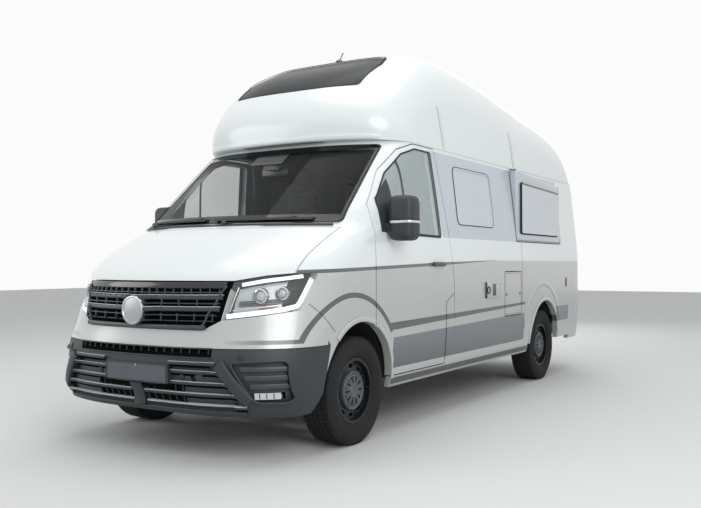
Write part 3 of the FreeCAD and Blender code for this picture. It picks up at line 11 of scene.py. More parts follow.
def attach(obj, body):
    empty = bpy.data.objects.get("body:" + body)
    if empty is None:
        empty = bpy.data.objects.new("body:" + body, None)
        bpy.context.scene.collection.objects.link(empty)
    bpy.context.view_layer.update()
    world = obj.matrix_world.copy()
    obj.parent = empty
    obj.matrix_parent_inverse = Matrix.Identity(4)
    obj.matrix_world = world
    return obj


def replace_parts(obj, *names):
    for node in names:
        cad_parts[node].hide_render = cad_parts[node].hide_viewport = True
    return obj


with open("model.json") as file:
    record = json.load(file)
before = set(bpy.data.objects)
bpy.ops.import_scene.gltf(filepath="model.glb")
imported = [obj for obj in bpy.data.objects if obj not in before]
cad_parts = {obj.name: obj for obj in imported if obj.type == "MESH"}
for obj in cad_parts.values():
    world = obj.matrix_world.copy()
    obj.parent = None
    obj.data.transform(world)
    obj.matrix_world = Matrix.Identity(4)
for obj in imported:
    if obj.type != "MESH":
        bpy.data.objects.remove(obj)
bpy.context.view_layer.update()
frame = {"nodes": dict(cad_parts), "record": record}

bl_info = {
    "name": "High-roof camper van",
    "version": (1, 0, 0),
    "blender": (4, 5, 0),
    "location": "3D View > Sidebar > Camper",
    "description": "Dresses the packed camper van with paint, glass, lamps, wheels and fittings",
    "category": "Object",
}

# Stations are metres back from the bumper's foremost point.
FRONT = -2.993
WHEEL_STATIONS = {"front": 1.010, "rear": 4.650}
AXLE_HEIGHT, HALF_TRACK = 0.354, 0.875
DISC_HEIGHT = 0.905          # middle of the plain disc in the grille
LEFT_RIGHT = ((1, "left"), (-1, "right"))
PAINT = "two_coat_body_paint"
FAR = 50.0                   # a limit that no point reaches
NODES = frame["nodes"]
BODY_OF = {node: body for body, names in frame["record"]["behaviour"]["bodies"].items()
           for node in names}
MATERIAL = bpy.data.materials


def at(station):
    """Y of a place measured back from the front of the van."""
    return FRONT + station


# Settings

class CamperPaint(bpy.types.PropertyGroup):
    """Colours of the outside."""

    upper: bpy.props.StringProperty(
        name="Upper paint", description="White coat above the waist stripe, sRGB hex", default="#e0e6e6")
    lower: bpy.props.StringProperty(
        name="Lower paint", description="Warm silver coat below the waist stripe, sRGB hex",
        default="#babdbb")
    band: bpy.props.StringProperty(
        name="Window band", description="Blue-grey band round the side windows, sRGB hex",
        default="#b9c1ca")
    skirt: bpy.props.StringProperty(
        name="Skirt band", description="Dark band above the sills, sRGB hex", default="#4d545a")
    stripe: bpy.props.StringProperty(
        name="Stripes", description="Brown-grey foil stripes, sRGB hex", default="#55595a")


class CamperSizes(bpy.types.PropertyGroup):
    """Sizes that a user might change."""

    seal: bpy.props.FloatProperty(
        name="Seal width", description="Width of the window rubbers", default=0.012,
        min=0.002, max=0.05, unit="LENGTH")
    slat: bpy.props.FloatProperty(
        name="Slat height", description="Height of one grille slat", default=0.028,
        min=0.005, max=0.06, unit="LENGTH")
    tread_blocks: bpy.props.IntProperty(
        name="Tread blocks", description="Blocks in one ring of a tyre's tread", default=66, min=24, max=120)
    wheel_slots: bpy.props.IntProperty(
        name="Wheel slots", description="Cooling slots in one steel wheel", default=10, min=4, max=20)
    floor: bpy.props.FloatProperty(
        name="Floor size", description="Side of the studio floor", default=60.0, unit="LENGTH")


# Materials

def linear(colour):
    """An sRGB hex colour as linear red, green, blue and alpha."""
    parts = [int(colour[i:i + 2], 16) / 255 for i in (1, 3, 5)]
    return [p / 12.92 if p <= 0.04045 else ((p + 0.055) / 1.055) ** 2.4 for p in parts] + [1.0]


def add(tree, kind, inputs=None, **settings):
    """Adds a node, sets its properties, then fills or links its inputs."""
    node = tree.nodes.new(kind)
    for name, value in settings.items():
        setattr(node, name, value)
    for key, value in (inputs or {}).items():
        if isinstance(value, bpy.types.NodeSocket):
            tree.links.new(value, node.inputs[key])
        else:
            node.inputs[key].default_value = value
    return node


def calc(tree, operation, *values):
    """One math operation run along several values."""
    return reduce(lambda first, second: add(tree, "ShaderNodeMath", {0: first, 1: second},
                                            operation=operation).outputs[0], values)


def line(tree, value, slope, start):
    """slope * value + start."""
    return add(tree, "ShaderNodeMath", {0: value, 1: slope, 2: start}, operation="MULTIPLY_ADD").outputs[0]


def window(tree, value, low, high, soft=0.0015):
    """1 where the value lies between two limits, with soft edges; limits may be sockets."""
    least = calc(tree, "MINIMUM", calc(tree, "SUBTRACT", value, low), calc(tree, "SUBTRACT", high, value))
    edge = add(tree, "ShaderNodeMapRange", {"Value": least, "From Min": 0.0, "From Max": soft},
               interpolation_type="SMOOTHSTEP")
    return edge.outputs["Result"]


def overlay(tree, base, top, mask):
    """One colour laid over another where the mask is 1."""
    mixed = add(tree, "ShaderNodeMix", {"Factor": mask, "A": base, "B": top}, data_type="RGBA")
    return mixed.outputs["Result"]


def coordinates(tree):
    """The piece's object coordinates."""
    return add(tree, "ShaderNodeTexCoord").outputs["Object"]


def body_axes(tree):
    """Object coordinates, distance from the middle plane, station and height."""
    place = coordinates(tree)
    axes = add(tree, "ShaderNodeSeparateXYZ", {"Vector": place}).outputs
    return place, calc(tree, "ABSOLUTE", axes["X"], 0), calc(tree, "SUBTRACT", axes["Y"], FRONT), axes["Z"]


def new_finish(name, colour, roughness, metallic=0.0, **sockets):
    """A material with its constants on the shader's own sockets."""
    made = bpy.data.materials.new(name)
    made.use_nodes = True
    shader = made.node_tree.nodes["Principled BSDF"]
    shader.inputs["Base Color"].default_value = linear(colour)
    for key, value in dict(sockets, Roughness=roughness, Metallic=metallic).items():
        shader.inputs[key.replace("_", " ")].default_value = value
    return made.node_tree, shader


def relief(tree, shader, height, strength, depth):
    """A bump of one depth in metres."""
    bump = add(tree, "ShaderNodeBump", {"Height": height, "Strength": strength, "Distance": depth})
    tree.links.new(bump.outputs["Normal"], shader.inputs["Normal"])


def grain(tree, shader, size_mm, depth_mm):
    """Fine relief of a given real size, from noise on object coordinates."""
    noise = add(tree, "ShaderNodeTexNoise", {
        "Vector": coordinates(tree), "Scale": 1000 / size_mm / 2, "Detail": 2.0})
    relief(tree, shader, noise.outputs["Fac"], 0.6, depth_mm / 1000)


def mottle(tree, shader, base, other, size_mm, share=0.5):
    """Slow colour drift between two near shades; base is a hex colour or a socket."""
    cloud = add(tree, "ShaderNodeTexNoise", {
        "Vector": coordinates(tree), "Scale": 1000 / size_mm / 2, "Detail": 4.0})
    ramp = add(tree, "ShaderNodeMapRange", {
        "Value": cloud.outputs["Fac"], "From Min": 0.35, "From Max": 0.65, "To Max": share})
    first = base if isinstance(base, bpy.types.NodeSocket) else linear(base)
    tree.links.new(overlay(tree, first, linear(other), ramp.outputs["Result"]), shader.inputs["Base Color"])


# Each plain finish: hex colour, drifting shade, roughness, metallic, grain in mm, relief in mm,
# drift in mm, and further sockets. The comment says what the real material gives the eye.
FINISHES = {
    # Moulded PP: dull charcoal with a fine leather grain that breaks up highlights.
    "moulded_pp": ("#2f3438", "#282c30", 0.52, 0.0, 2.0, 0.10, 300, {}),
    # Moulded ASA in the grille: darker, smoother, with a soft sheen along the slats.
    "grille_asa": ("#3d4248", "#34383d", 0.36, 0.0, 1.6, 0.04, 260, {}),
    # Gloss ABS: deep black that mirrors the studio.
    "gloss_abs": ("#1b1d20", "#141517", 0.16, 0.0, 1.0, 0.01, 200, {"Coat_Weight": 0.4}),
    # Painted shade: a near-black sheet behind slats and in openings and wheel slots, where only shade shows.
    "shadow_mesh": ("#090a0b", "#101112", 0.90, 0.0, 4.0, 0.3, 90, {"Specular_IOR_Level": 0.03}),
    # EPDM rubber: matt, almost black, slightly dusty.
    "epdm_rubber": ("#1c1d1f", "#26282a", 0.72, 0.0, 1.5, 0.05, 120, {}),
    # Tyre rubber: dark grey with dry dust in the grain.
    "carbon_black_rubber": ("#242526", "#2d2e2f", 0.80, 0.0, 1.8, 0.12, 90, {"Specular_IOR_Level": 0.2}),
    # Enamelled steel wheel: satin black with a thin coat.
    "enamelled_steel": ("#141617", "#1b1d1f", 0.36, 0.0, 1.4, 0.02, 160, {"Specular_IOR_Level": 0.35}),
    # Hub cap of moulded PA: mid grey, satin.
    "grey_pa": ("#4a4e52", "#54585c", 0.42, 0.0, 1.5, 0.04, 80, {}),
    # Zinc-plated bolts and hinges: pale, dulled by handling.
    "zinc_steel": ("#9b9fa3", "#85898d", 0.38, 1.0, 1.2, 0.04, 40, {}),
    # Cast iron: rough, blackened, with rust-brown drift.
    "sand_cast_iron": ("#3d3a38", "#4d4138", 0.74, 0.4, 3.0, 0.4, 60, {}),
    # Cathodic-dip chassis coat: satin black.
    "dip_coat": ("#26282a", "#303234", 0.50, 0.0, 2.5, 0.15, 200, {}),
    # Aluminised exhaust steel: straw-grey where the heat has been.
    "heat_tinted_steel": ("#7b7873", "#655e56", 0.46, 0.9, 2.0, 0.10, 120, {}),
    # Rotomoulded polythene tanks: black with an orange-peel skin.
    "black_polythene": ("#232527", "#2b2d2f", 0.58, 0.0, 2.4, 0.12, 260, {}),
    # Vapour-chromed reflector: near mirror.
    "chrome_film": ("#d9dbdd", "#c6c9cc", 0.09, 1.0, 3.0, 0.02, 60, {}),
    # Anodised aluminium strips and frames: soft white metal.
    "anodised_aluminium": ("#b7babd", "#a9acb0", 0.30, 1.0, 0.8, 0.02, 120, {}),
    # Tinted acrylic of the caravan windows: grey, very smooth, faintly reflecting.
    "tinted_acrylic": ("#c3cad2", "#b9c0c8", 0.12, 0.0, 9.0, 0.02, 400, {"Coat_Weight": 0.4}),
    # Toughened roof glass over a dark blind.
    "roof_glass": ("#1d2124", "#181b1e", 0.28, 0.0, 12.0, 0.02, 500, {"Specular_IOR_Level": 0.12}),
    # Red tail lamp of PMMA: wet-looking under its own gloss.
    "red_pmma": ("#8f1217", "#6d0c10", 0.12, 0.0, 6.0, 0.02, 60, {"Coat_Weight": 1.0}),
    # Clear PMMA strip and projector lenses.
    "clear_pmma": ("#c9cdd0", "#b7bcc0", 0.12, 0.0, 6.0, 0.05, 60, {"Coat_Weight": 1.0}),
    # Amber indicator lens.
    "amber_pmma": ("#c98a5c", "#d3a37d", 0.16, 0.0, 5.0, 0.05, 40, {"Coat_Weight": 0.8}),
    # Daytime light guide: milky polycarbonate, glowing faintly.
    "light_guide": ("#eef1f4", "#e2e7ec", 0.22, 0.0, 3.0, 0.02, 50,
                    {"Emission_Color": (0.93, 0.96, 1.0, 1.0), "Emission_Strength": 0.42}),
    # Lamp bezel of moulded PC, metallised grey; the same pale grey is painted highlight along the grille and
    # bumper slats.
    "graphite_pc": ("#c6ccce", "#b3babd", 0.22, 0.1, 2.0, 0.02, 90, {}),
    # Foamed PP dashboard skin: dark, soft grain.
    "dash_skin": ("#2e3033", "#26282a", 0.62, 0.0, 2.2, 0.16, 240, {}),
    # Grey ABS pillar and door linings.
    "grey_lining": ("#8d9291", "#838887", 0.64, 0.0, 1.8, 0.08, 300, {}),
    # Melamine worktop: dark slate print.
    "slate_melamine": ("#47484a", "#5a5b5c", 0.36, 0.0, 3.0, 0.03, 60, {}),
    # Laminated wall board, slate grey.
    "slate_board": ("#43494b", "#3b4143", 0.55, 0.0, 2.0, 0.03, 200, {}),
    # Moulded white ABS of lid and vent.
    "wet_room_abs": ("#dcdcd8", "#d2d2cd", 0.28, 0.0, 2.5, 0.03, 300, {}),
    # Brushed stainless sink and handles.
    "brushed_stainless": ("#b5b7b9", "#a4a6a8", 0.28, 1.0, 0.7, 0.02, 40, {}),
    # Wrapped leather of the steering wheel.
    "wheel_leather": ("#1e1f21", "#262729", 0.48, 0.0, 1.6, 0.15, 60, {}),
    # Underseal on floor and arches: coarse and matt.
    "stone_chip_coat": ("#2b2c2e", "#353638", 0.88, 0.0, 5.0, 0.8, 180, {}),
    # Cast vinyl foil of the stripes, brown-grey and satin.
    "stripe_foil": ("#4c4f4e", "#474a49", 0.34, 0.0, 3.0, 0.01, 200, {}),
    # Silvered glass of the outside mirrors.
    "mirror_glass": ("#c4ccd0", "#bcc4c8", 0.04, 1.0, 20.0, 0.01, 300, {}),
    # Blank plate board: satin slate plastic.
    "pressed_plate": ("#50565e", "#4a5057", 0.40, 0.0, 2.0, 0.03, 200, {}),
}


def make_finishes():
    """Builds the plain finishes of the table."""
    for name, (colour, other, rough, metal, size, depth, drift, more) in FINISHES.items():
        tree, shader = new_finish(name, colour, rough, metal, **more)
        mottle(tree, shader, colour, other, drift)
        grain(tree, shader, size, depth)


def make_body_paint(paint):
    """Solid white over silver basecoat under clearcoat, with the two foil stripes and both bands."""
    tree, shader = new_finish(PAINT, paint.upper, 0.32, Coat_Weight=0.7, Coat_Roughness=0.14)
    place, across, back, height = body_axes(tree)

    def zone(*limits):
        """1 where each value lies between its limits."""
        return calc(tree, "MULTIPLY", *[window(tree, *limit) for limit in limits])

    # The colour parting and the upper stripe rise slowly towards the rear.
    waist = line(tree, calc(tree, "MINIMUM", back, 3.3), 0.0275, 1.125)
    below = zone((height, -FAR, waist))
    colour = overlay(tree, linear(paint.upper), linear(paint.lower), below)
    half = add(tree, "ShaderNodeMapRange", {"Value": back, "From Min": 2.2, "From Max": 3.35,
                                            "To Min": 0.0125, "To Max": 0.002}).outputs["Result"]
    upper_stripe = zone((height, calc(tree, "SUBTRACT", waist, half), calc(tree, "ADD", waist, half)),
                        (back, -1, 3.35))
    # The lower stripe rings the front arch and runs on to the rear wheel.
    ring = add(tree, "ShaderNodeVectorMath", {
        0: add(tree, "ShaderNodeCombineXYZ", {"X": back, "Y": height}).outputs[0],
        1: (0.90, 0.36, 0.0)}, operation="DISTANCE").outputs["Value"]
    arch = zone((ring, 0.607, 0.643), (back, 0.35, 1.425), (height, 0.712, 2))
    run = zone((height, line(tree, back, 0.0267, 0.686), line(tree, back, 0.0155, 0.7555)),
               (back, 1.385, 4.06), (ring, 0.607, FAR))
    nose = zone((height, 0.712, 0.738), (back, 0.10, 0.45), (ring, 0.607, FAR), (across, 0.55, FAR, 0.40))
    stripes = calc(tree, "MAXIMUM", arch, run, upper_stripe, nose)
    colour = overlay(tree, colour, linear(paint.stripe), stripes)
    # The skirt band darkens downwards; behind the rear wheel it is shorter.
    shade = add(tree, "ShaderNodeMapRange", {"Value": height, "From Min": 0.46, "From Max": 0.70})
    skirt = overlay(tree, linear(paint.skirt), linear("#747b82"), shade.outputs["Result"])
    fore = zone((height, 0.456, line(tree, back, 0.0165, 0.648)), (back, 1.437, 4.045))
    aft = zone((height, 0.575, 0.735), (back, 4.98, 5.42))
    colour = overlay(tree, colour, skirt, calc(tree, "MAXIMUM", fore, aft))
    # The window band starts at the cab window's slanted rear edge.
    band = zone((height, 1.392, 2.072), (back, line(tree, height, -0.175, 2.497), 5.22), (across, 0.85, FAR))
    colour = overlay(tree, colour, linear(paint.band), band)
    # Metallic flakes only show in the silver coat.
    flakes = add(tree, "ShaderNodeTexVoronoi", {"Vector": place, "Scale": 420.0})
    sparkle = add(tree, "ShaderNodeMapRange", {
        "Value": flakes.outputs["Color"], "From Min": 0.2, "From Max": 0.9, "To Min": 0.94, "To Max": 1.04})
    lit = add(tree, "ShaderNodeVectorMath", {0: colour, "Scale": sparkle.outputs["Result"]},
              operation="SCALE")
    tree.links.new(overlay(tree, colour, lit.outputs["Vector"], below), shader.inputs["Base Color"])
    tree.links.new(calc(tree, "MULTIPLY", below, 0.22), shader.inputs["Metallic"])
    grain(tree, shader, 9.0, 0.02)


def make_plain_paints(paint):
    """The same coats where no stripe runs: white over primer, and silver basecoat under clearcoat."""
    for name, colour, other, metal in (("plain_body_paint", paint.upper, "#dde0e0", 0.0),
                                       ("silver_body_paint", paint.lower, "#b4b2ae", 0.22)):
        tree, shader = new_finish(name, colour, 0.32, metal, Coat_Weight=0.7, Coat_Roughness=0.14)
        mottle(tree, shader, colour, other, 700)
        grain(tree, shader, 9.0, 0.02)


def make_glass():
    """Float glass and the windscreen with its ceramic border."""
    # Panes are drawn as thin tinted films, which let the light into the cab without noise.
    for name, colour, rough, film in (("tinted_float_glass", "#e2f0f2", 0.03, 0.32),
                                      ("lamp_polycarbonate", "#f2f5f6", 0.03, 0.07),
                                      ("smoked_rear_glass", "#1a1e20", 0.06, 0.80)):
        tree, shader = new_finish(name, colour, rough, Alpha=film)
        grain(tree, shader, 400.0, 0.02)
    tree, shader = new_finish("laminated_windscreen", "#1c2726", 0.03)
    _, across, _, height = body_axes(tree)
    clear = calc(tree, "MULTIPLY", window(tree, across, -1, line(tree, height, -0.1017, 1.0027), 0.004),
                 window(tree, height, 1.515, 2.020, 0.006))
    # The sensor's black patch hangs from the middle of the upper border.
    patch_mask = calc(tree, "MULTIPLY", window(tree, across, -1, 0.15, 0.004),
                      window(tree, height, 1.93, 3, 0.004))
    clear = calc(tree, "SUBTRACT", clear, patch_mask)
    tree.links.new(overlay(tree, linear("#0d0e10"), linear("#141c1b"), clear), shader.inputs["Base Color"])
    tree.links.new(line(tree, clear, -0.87, 1.0), shader.inputs["Alpha"])


def make_weaves():
    """Cloth and wood, whose pattern follows a real thread or grain size."""
    for name, colour, other, pitch in (("seat_cloth", "#4c5153", "#404446", 2.5),
                                       ("mattress_ticking", "#cbc8c0", "#bab6ad", 3.0)):
        # Plain weave, drawn coarser than the real 0.6 mm thread so that it shows.
        tree, shader = new_finish(name, colour, 0.92, Sheen_Weight=0.35)
        turned_place = add(tree, "ShaderNodeMapping", {
            "Vector": coordinates(tree), "Rotation": (0.6, 0.6, 0.78)})
        threads = [add(tree, "ShaderNodeTexWave", {
            "Vector": turned_place.outputs["Vector"], "Scale": 1000 / pitch / 6.28, "Distortion": 0.6,
            "Detail Scale": 3.0}, bands_direction=axis).outputs["Fac"] for axis in ("X", "Z")]
        weave = calc(tree, "MULTIPLY", *threads)
        mottle(tree, shader, overlay(tree, linear(other), linear(colour), weave), other, 90, 0.35)
        relief(tree, shader, weave, 0.5, 0.0004)
    # Laminated cabinet fronts: pale oak print with long grain and a satin seal.
    tree, shader = new_finish("oak_laminate", "#b7a487", 0.42)
    long_grain = add(tree, "ShaderNodeMapping", {"Vector": coordinates(tree), "Scale": (14.0, 14.0, 1.2)})
    rings = add(tree, "ShaderNodeTexNoise", {
        "Vector": long_grain.outputs["Vector"], "Scale": 6.0, "Detail": 6.0, "Distortion": 1.2})
    shade = overlay(tree, linear("#a08a6b"), linear("#c9b899"), rings.outputs["Fac"])
    tree.links.new(shade, shader.inputs["Base Color"])


# Making pieces

def fix(piece, node):
    """Puts a finished mesh in the scene and on the body of the node that carries it."""
    if piece.name not in bpy.context.scene.collection.objects:
        bpy.context.scene.collection.objects.link(piece)
    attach(piece, BODY_OF[node])
    return piece


def weld(mesh, smooth, normals=True):
    """Merges doubles and marks edges sharper than an angle."""
    work = bmesh.new()
    work.from_mesh(mesh)
    bmesh.ops.remove_doubles(work, verts=work.verts, dist=1e-5)
    bmesh.ops.dissolve_degenerate(work, edges=work.edges, dist=1e-6)
    if normals:
        bmesh.ops.recalc_face_normals(work, faces=work.faces)
    for face in work.faces:
        face.smooth = True
    for edge in work.edges:
        edge.smooth = len(edge.link_faces) == 2 and edge.calc_face_angle(0.0) < math.radians(smooth)
    work.to_mesh(mesh)
    work.free()


def mesh_object(name, verts, faces, finish, smooth=40.0):
    """A mesh object with welded points, faces pointing outwards and smooth curves."""
    mesh = bpy.data.meshes.new(name)
    mesh.from_pydata([tuple(v) for v in verts], [], faces)
    mesh.materials.append(MATERIAL[finish])
    weld(mesh, smooth)
    return bpy.data.objects.new(name, mesh)


def join(name, objects):
    """Several mesh objects as one, keeping each one's materials."""
    work = bmesh.new()
    mesh = bpy.data.meshes.new(name)
    for item in objects:
        shift = len(mesh.materials)
        for material in item.data.materials:
            mesh.materials.append(material)
        before = len(work.faces)
        work.from_mesh(item.data)
        work.faces.ensure_lookup_table()
        for face in work.faces[before:]:
            face.material_index += shift
        bpy.data.objects.remove(item)
    work.to_mesh(mesh)
    work.free()
    return bpy.data.objects.new(name, mesh)


def lay(name, node, pieces):
    """Several placed pieces as one, carried by a node."""
    return fix(join(name, pieces), node)


def skin(node, finishes, choose=lambda face: 0):
    """A welded, smooth-shaded copy of a CAD node that stands for it."""
    mesh = NODES[node].data.copy()
    mesh.materials.clear()
    for finish in [finishes] if isinstance(finishes, str) else finishes:
        mesh.materials.append(MATERIAL[finish])
    weld(mesh, 32.0, normals=False)
    for face in mesh.polygons:
        face.material_index = choose(face)
    made = fix(bpy.data.objects.new(node + "_skin", mesh), node)
    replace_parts(made, node)


def faces_inwards(face):
    """1 for a panel's inner side, which is lined and not painted."""
    centre, normal = face.center, face.normal
    outward = Vector((centre.x, 0.18 * (centre.y - 0.3), max(0.0, centre.z - 1.9) * 1.2))
    return int(outward.length > 0.2 and normal.dot(outward.normalized()) < -0.45)


# Places on the body

PANELS = {
    "front": ("bonnet", "front_fascia", "front_wings", "grille", "headlamps", "front_bumper", "windshield",
              "cab_frame", "high_roof", "roof_window", "front_plate", "fog_lamps"),
    "side": ("cab_door_left", "cab_door_right", "door_glass_left", "door_glass_right", "side_wall_left",
             "side_wall_right", "sliding_door", "side_windows", "side_pods", "service_flap", "sill_trims",
             "front_wings", "cab_frame", "high_roof", "front_bumper", "rear_bumper", "tail_lamps",
             "headlamps", "front_fascia", "power_inlet"),
    "rear": ("rear_door_left", "rear_door_right", "rear_glass_left", "rear_glass_right", "tail_lamps",
             "rear_bumper", "high_roof", "side_wall_left", "side_wall_right"),
    "roof": ("high_roof", "roof_window", "roof_hatch"),
}
SEARCH = {}


def search_tree(nodes):
    """A ray-casting tree over several nodes' faces."""
    if nodes not in SEARCH:
        verts, faces = [], []
        for node in nodes:
            mesh = NODES[node].data
            first = len(verts)
            verts += [vertex.co.copy() for vertex in mesh.vertices]
            faces += [[first + i for i in face.vertices] for face in mesh.polygons]
        SEARCH[nodes] = BVHTree.FromPolygons(verts, faces)
    return SEARCH[nodes]


def spot(nodes, origin, direction):
    """Point and normal where a ray meets some nodes; close rays beside it bridge an open seam."""
    origin, direction = Vector(origin), Vector(direction)
    side = direction.orthogonal().normalized() * 0.009
    best, slope = None, -direction
    for shift in (Vector(), side, -side, direction.cross(side), side.cross(direction)):
        place, normal, _, _ = search_tree(nodes).ray_cast(origin + shift, direction)
        if place is None:
            continue
        reach = (place - origin).dot(direction)
        if best is None or reach < best - 0.012:
            best, slope = reach, normal if normal.dot(direction) < -0.2 else -direction
    if best is None:
        raise RuntimeError(f"no surface at {tuple(origin)}")
    return origin + direction * best, slope.normalized()


def on_front(x, z):
    """A spot on the nose, windscreen or roof front."""
    return spot(PANELS["front"], (x, -6, z), (0, 1, 0))


def on_rear(x, z):
    """A spot on the tail."""
    return spot(PANELS["rear"], (x, 6, z), (0, -1, 0))


def on_roof(x, station):
    """A spot on the roof, from above."""
    return spot(PANELS["roof"], (x, at(station), 6), (0, 0, -1))


def on_side(sign):
    """Spots on one flank, by station and height."""
    return lambda station, z: spot(PANELS["side"], (3 * sign, at(station), z), (-sign, 0, 0))


def trace(place, corners, step=0.05, closed=False):
    """Spots along a line drawn on the body, close enough together to follow its curve."""
    spots = []
    ends = corners[1:] + (corners[:1] if closed else [])
    for start, end in zip(corners, ends):
        count = max(1, math.ceil(math.dist(start, end) / step))
        spots += [place(*[a + (b - a) * i / count for a, b in zip(start, end)]) for i in range(count)]
    return spots if closed else spots + [place(*corners[-1])]


def shifted(spots, lift):
    """Spots moved along their normals."""
    return [(place + normal * lift, normal) for place, normal in spots]


def rounded(corners, radius, parts=3):
    """A closed outline with its corners rounded."""
    points = []
    for index, corner in enumerate(corners):
        before, here = Vector(corners[index - 1]), Vector(corner)
        after = Vector(corners[(index + 1) % len(corners)])
        start = here + (before - here).normalized() * radius
        end = here + (after - here).normalized() * radius
        for i in range(parts + 1):
            t = i / parts
            points.append(tuple(start * (1 - t) ** 2 + here * 2 * t * (1 - t) + end * t * t))
    return points


def box(x_low, z_low, x_high, z_high):
    """The corners of a rectangle."""
    return [(x_low, z_low), (x_high, z_low), (x_high, z_high), (x_low, z_high)]


def grown_box(corners, gap):
    """An outline pushed outwards from its middle along both axes."""
    middle = [sum(axis) / len(corners) for axis in zip(*corners)]
    return [tuple(v + math.copysign(gap, v - m) for v, m in zip(corner, middle)) for corner in corners]


def arc(centre, radius, low, high, parts):
    """Points of a circle between two angles in degrees, as pairs."""
    angles = [math.radians(low + (high - low) * i / parts) for i in range(parts + 1)]
    return [(centre[0] + radius * math.cos(a), centre[1] + radius * math.sin(a)) for a in angles]


def sweep(steps, z):
    """A level line across the van, 50 mm from point to point."""
    return [(x / 20, z) for x in range(-steps, steps + 1)]


def pairs(*lines):
    """Lines on the nose or tail, each with its mirror image."""
    return [[(sign * x, z) for x, z in line_] for line_ in lines for sign, _ in LEFT_RIGHT]


def fill(corners, columns):
    """A line with extra points between its corners."""
    points = []
    for start, end in zip(corners, corners[1:]):
        points += [tuple(a + (b - a) * i / columns for a, b in zip(start, end)) for i in range(columns)]
    return points + [corners[-1]]


# Node trees for what follows a path or repeats

def new_tree(name, **inputs):
    """A geometry node tree with named inputs, and its input sockets."""
    tree = bpy.data.node_groups.new(name, "GeometryNodeTree")
    for label, kind in inputs.items():
        tree.interface.new_socket(label, in_out="INPUT", socket_type="NodeSocket" + kind)
    tree.interface.new_socket("Geometry", in_out="OUTPUT", socket_type="NodeSocketGeometry")
    return tree, tree.nodes.new("NodeGroupInput").outputs


def end_tree(tree, geometry, finish):
    """Ends a tree in real geometry with its material."""
    real = add(tree, "GeometryNodeRealizeInstances", {"Geometry": geometry})
    coated = add(tree, "GeometryNodeSetMaterial", {"Geometry": real.outputs[0], "Material": finish})
    add(tree, "NodeGroupOutput", {"Geometry": coated.outputs[0]})


def path_inputs(tree, path):
    """The path as a curve, and the surface normal kept on its points."""
    up = add(tree, "GeometryNodeInputNamedAttribute", {"Name": "up"}, data_type="FLOAT_VECTOR")
    return add(tree, "GeometryNodeMeshToCurve", {"Mesh": path}).outputs[0], up.outputs[0]


def end_in_parts(tree, points, given, turn):
    """Sets the given part on points and ends the tree."""
    part = add(tree, "GeometryNodeObjectInfo", {"Object": given["Part"]})
    set_out = add(tree, "GeometryNodeInstanceOnPoints", {
        "Points": points.outputs[0], "Instance": part.outputs["Geometry"], "Rotation": turn.outputs[0]})
    end_tree(tree, set_out.outputs[0], given["Finish"])


def make_trim_tree():
    """A moulding along paths: a bar with rounded edges whose base lies on the path."""
    tree, given = new_tree("trim_strip", Path="Geometry", Width="Float", Rise="Float", Finish="Material")
    curve, up = path_inputs(tree, given["Path"])
    aimed = add(tree, "GeometryNodeSetCurveNormal", {"Curve": curve, "Normal": up}, mode="FREE")
    section = add(tree, "GeometryNodeCurvePrimitiveQuadrilateral", {
        "Width": given["Rise"], "Height": given["Width"]})
    radius = calc(tree, "MULTIPLY", calc(tree, "MINIMUM", given["Rise"], given["Width"]), 0.35)
    edge = add(tree, "GeometryNodeFilletCurve", {"Curve": section.outputs[0], "Count": 2, "Radius": radius},
               mode="POLY")
    base = add(tree, "ShaderNodeCombineXYZ", {"X": calc(tree, "MULTIPLY", given["Rise"], 0.5)})
    raised = add(tree, "GeometryNodeTransform", {"Geometry": edge.outputs[0], "Translation": base.outputs[0]})
    swept = add(tree, "GeometryNodeCurveToMesh", {
        "Curve": aimed.outputs[0], "Profile Curve": raised.outputs[0], "Fill Caps": True})
    end_tree(tree, swept.outputs[0], given["Finish"])


def make_row_tree():
    """Equal parts set along paths at a spacing, standing on the surface."""
    tree, given = new_tree("row_of_parts", Path="Geometry", Part="Object", Spacing="Float", Finish="Material")
    curve, up = path_inputs(tree, given["Path"])
    spaced = add(tree, "GeometryNodeResampleCurve", {"Curve": curve, "Length": given["Spacing"]},
                 mode="LENGTH")
    tangent = add(tree, "GeometryNodeInputTangent")
    turn = add(tree, "FunctionNodeAxesToRotation", {0: up, 1: tangent.outputs[0]},
               primary_axis="Z", secondary_axis="X")
    end_in_parts(tree, spaced, given, turn)


def make_ring_tree():
    """Equal parts in a ring about the X axis, each with its own Z pointing outwards."""
    tree, given = new_tree("ring_of_parts", Part="Object", Count="Int", Radius="Float", Phase="Float",
                           Finish="Material")
    points = add(tree, "GeometryNodePoints", {"Count": given["Count"]})
    index = add(tree, "GeometryNodeInputIndex").outputs[0]
    share = calc(tree, "DIVIDE", calc(tree, "ADD", index, given["Phase"]), given["Count"])
    angle = calc(tree, "MULTIPLY", share, math.tau)
    place = add(tree, "ShaderNodeCombineXYZ", {
        "Y": calc(tree, "MULTIPLY", calc(tree, "SINE", angle, 0), given["Radius"], -1.0),
        "Z": calc(tree, "MULTIPLY", calc(tree, "COSINE", angle, 0), given["Radius"])})
    ring = add(tree, "GeometryNodeSetPosition", {
        "Geometry": points.outputs[0], "Position": place.outputs[0]})
    end_in_parts(tree, ring, given, add(tree, "ShaderNodeCombineXYZ", {"X": angle}))


def applied(piece):
    """The mesh that a piece's modifiers make."""
    bpy.context.view_layer.update()
    return bpy.data.meshes.new_from_object(piece.evaluated_get(bpy.context.evaluated_depsgraph_get()))


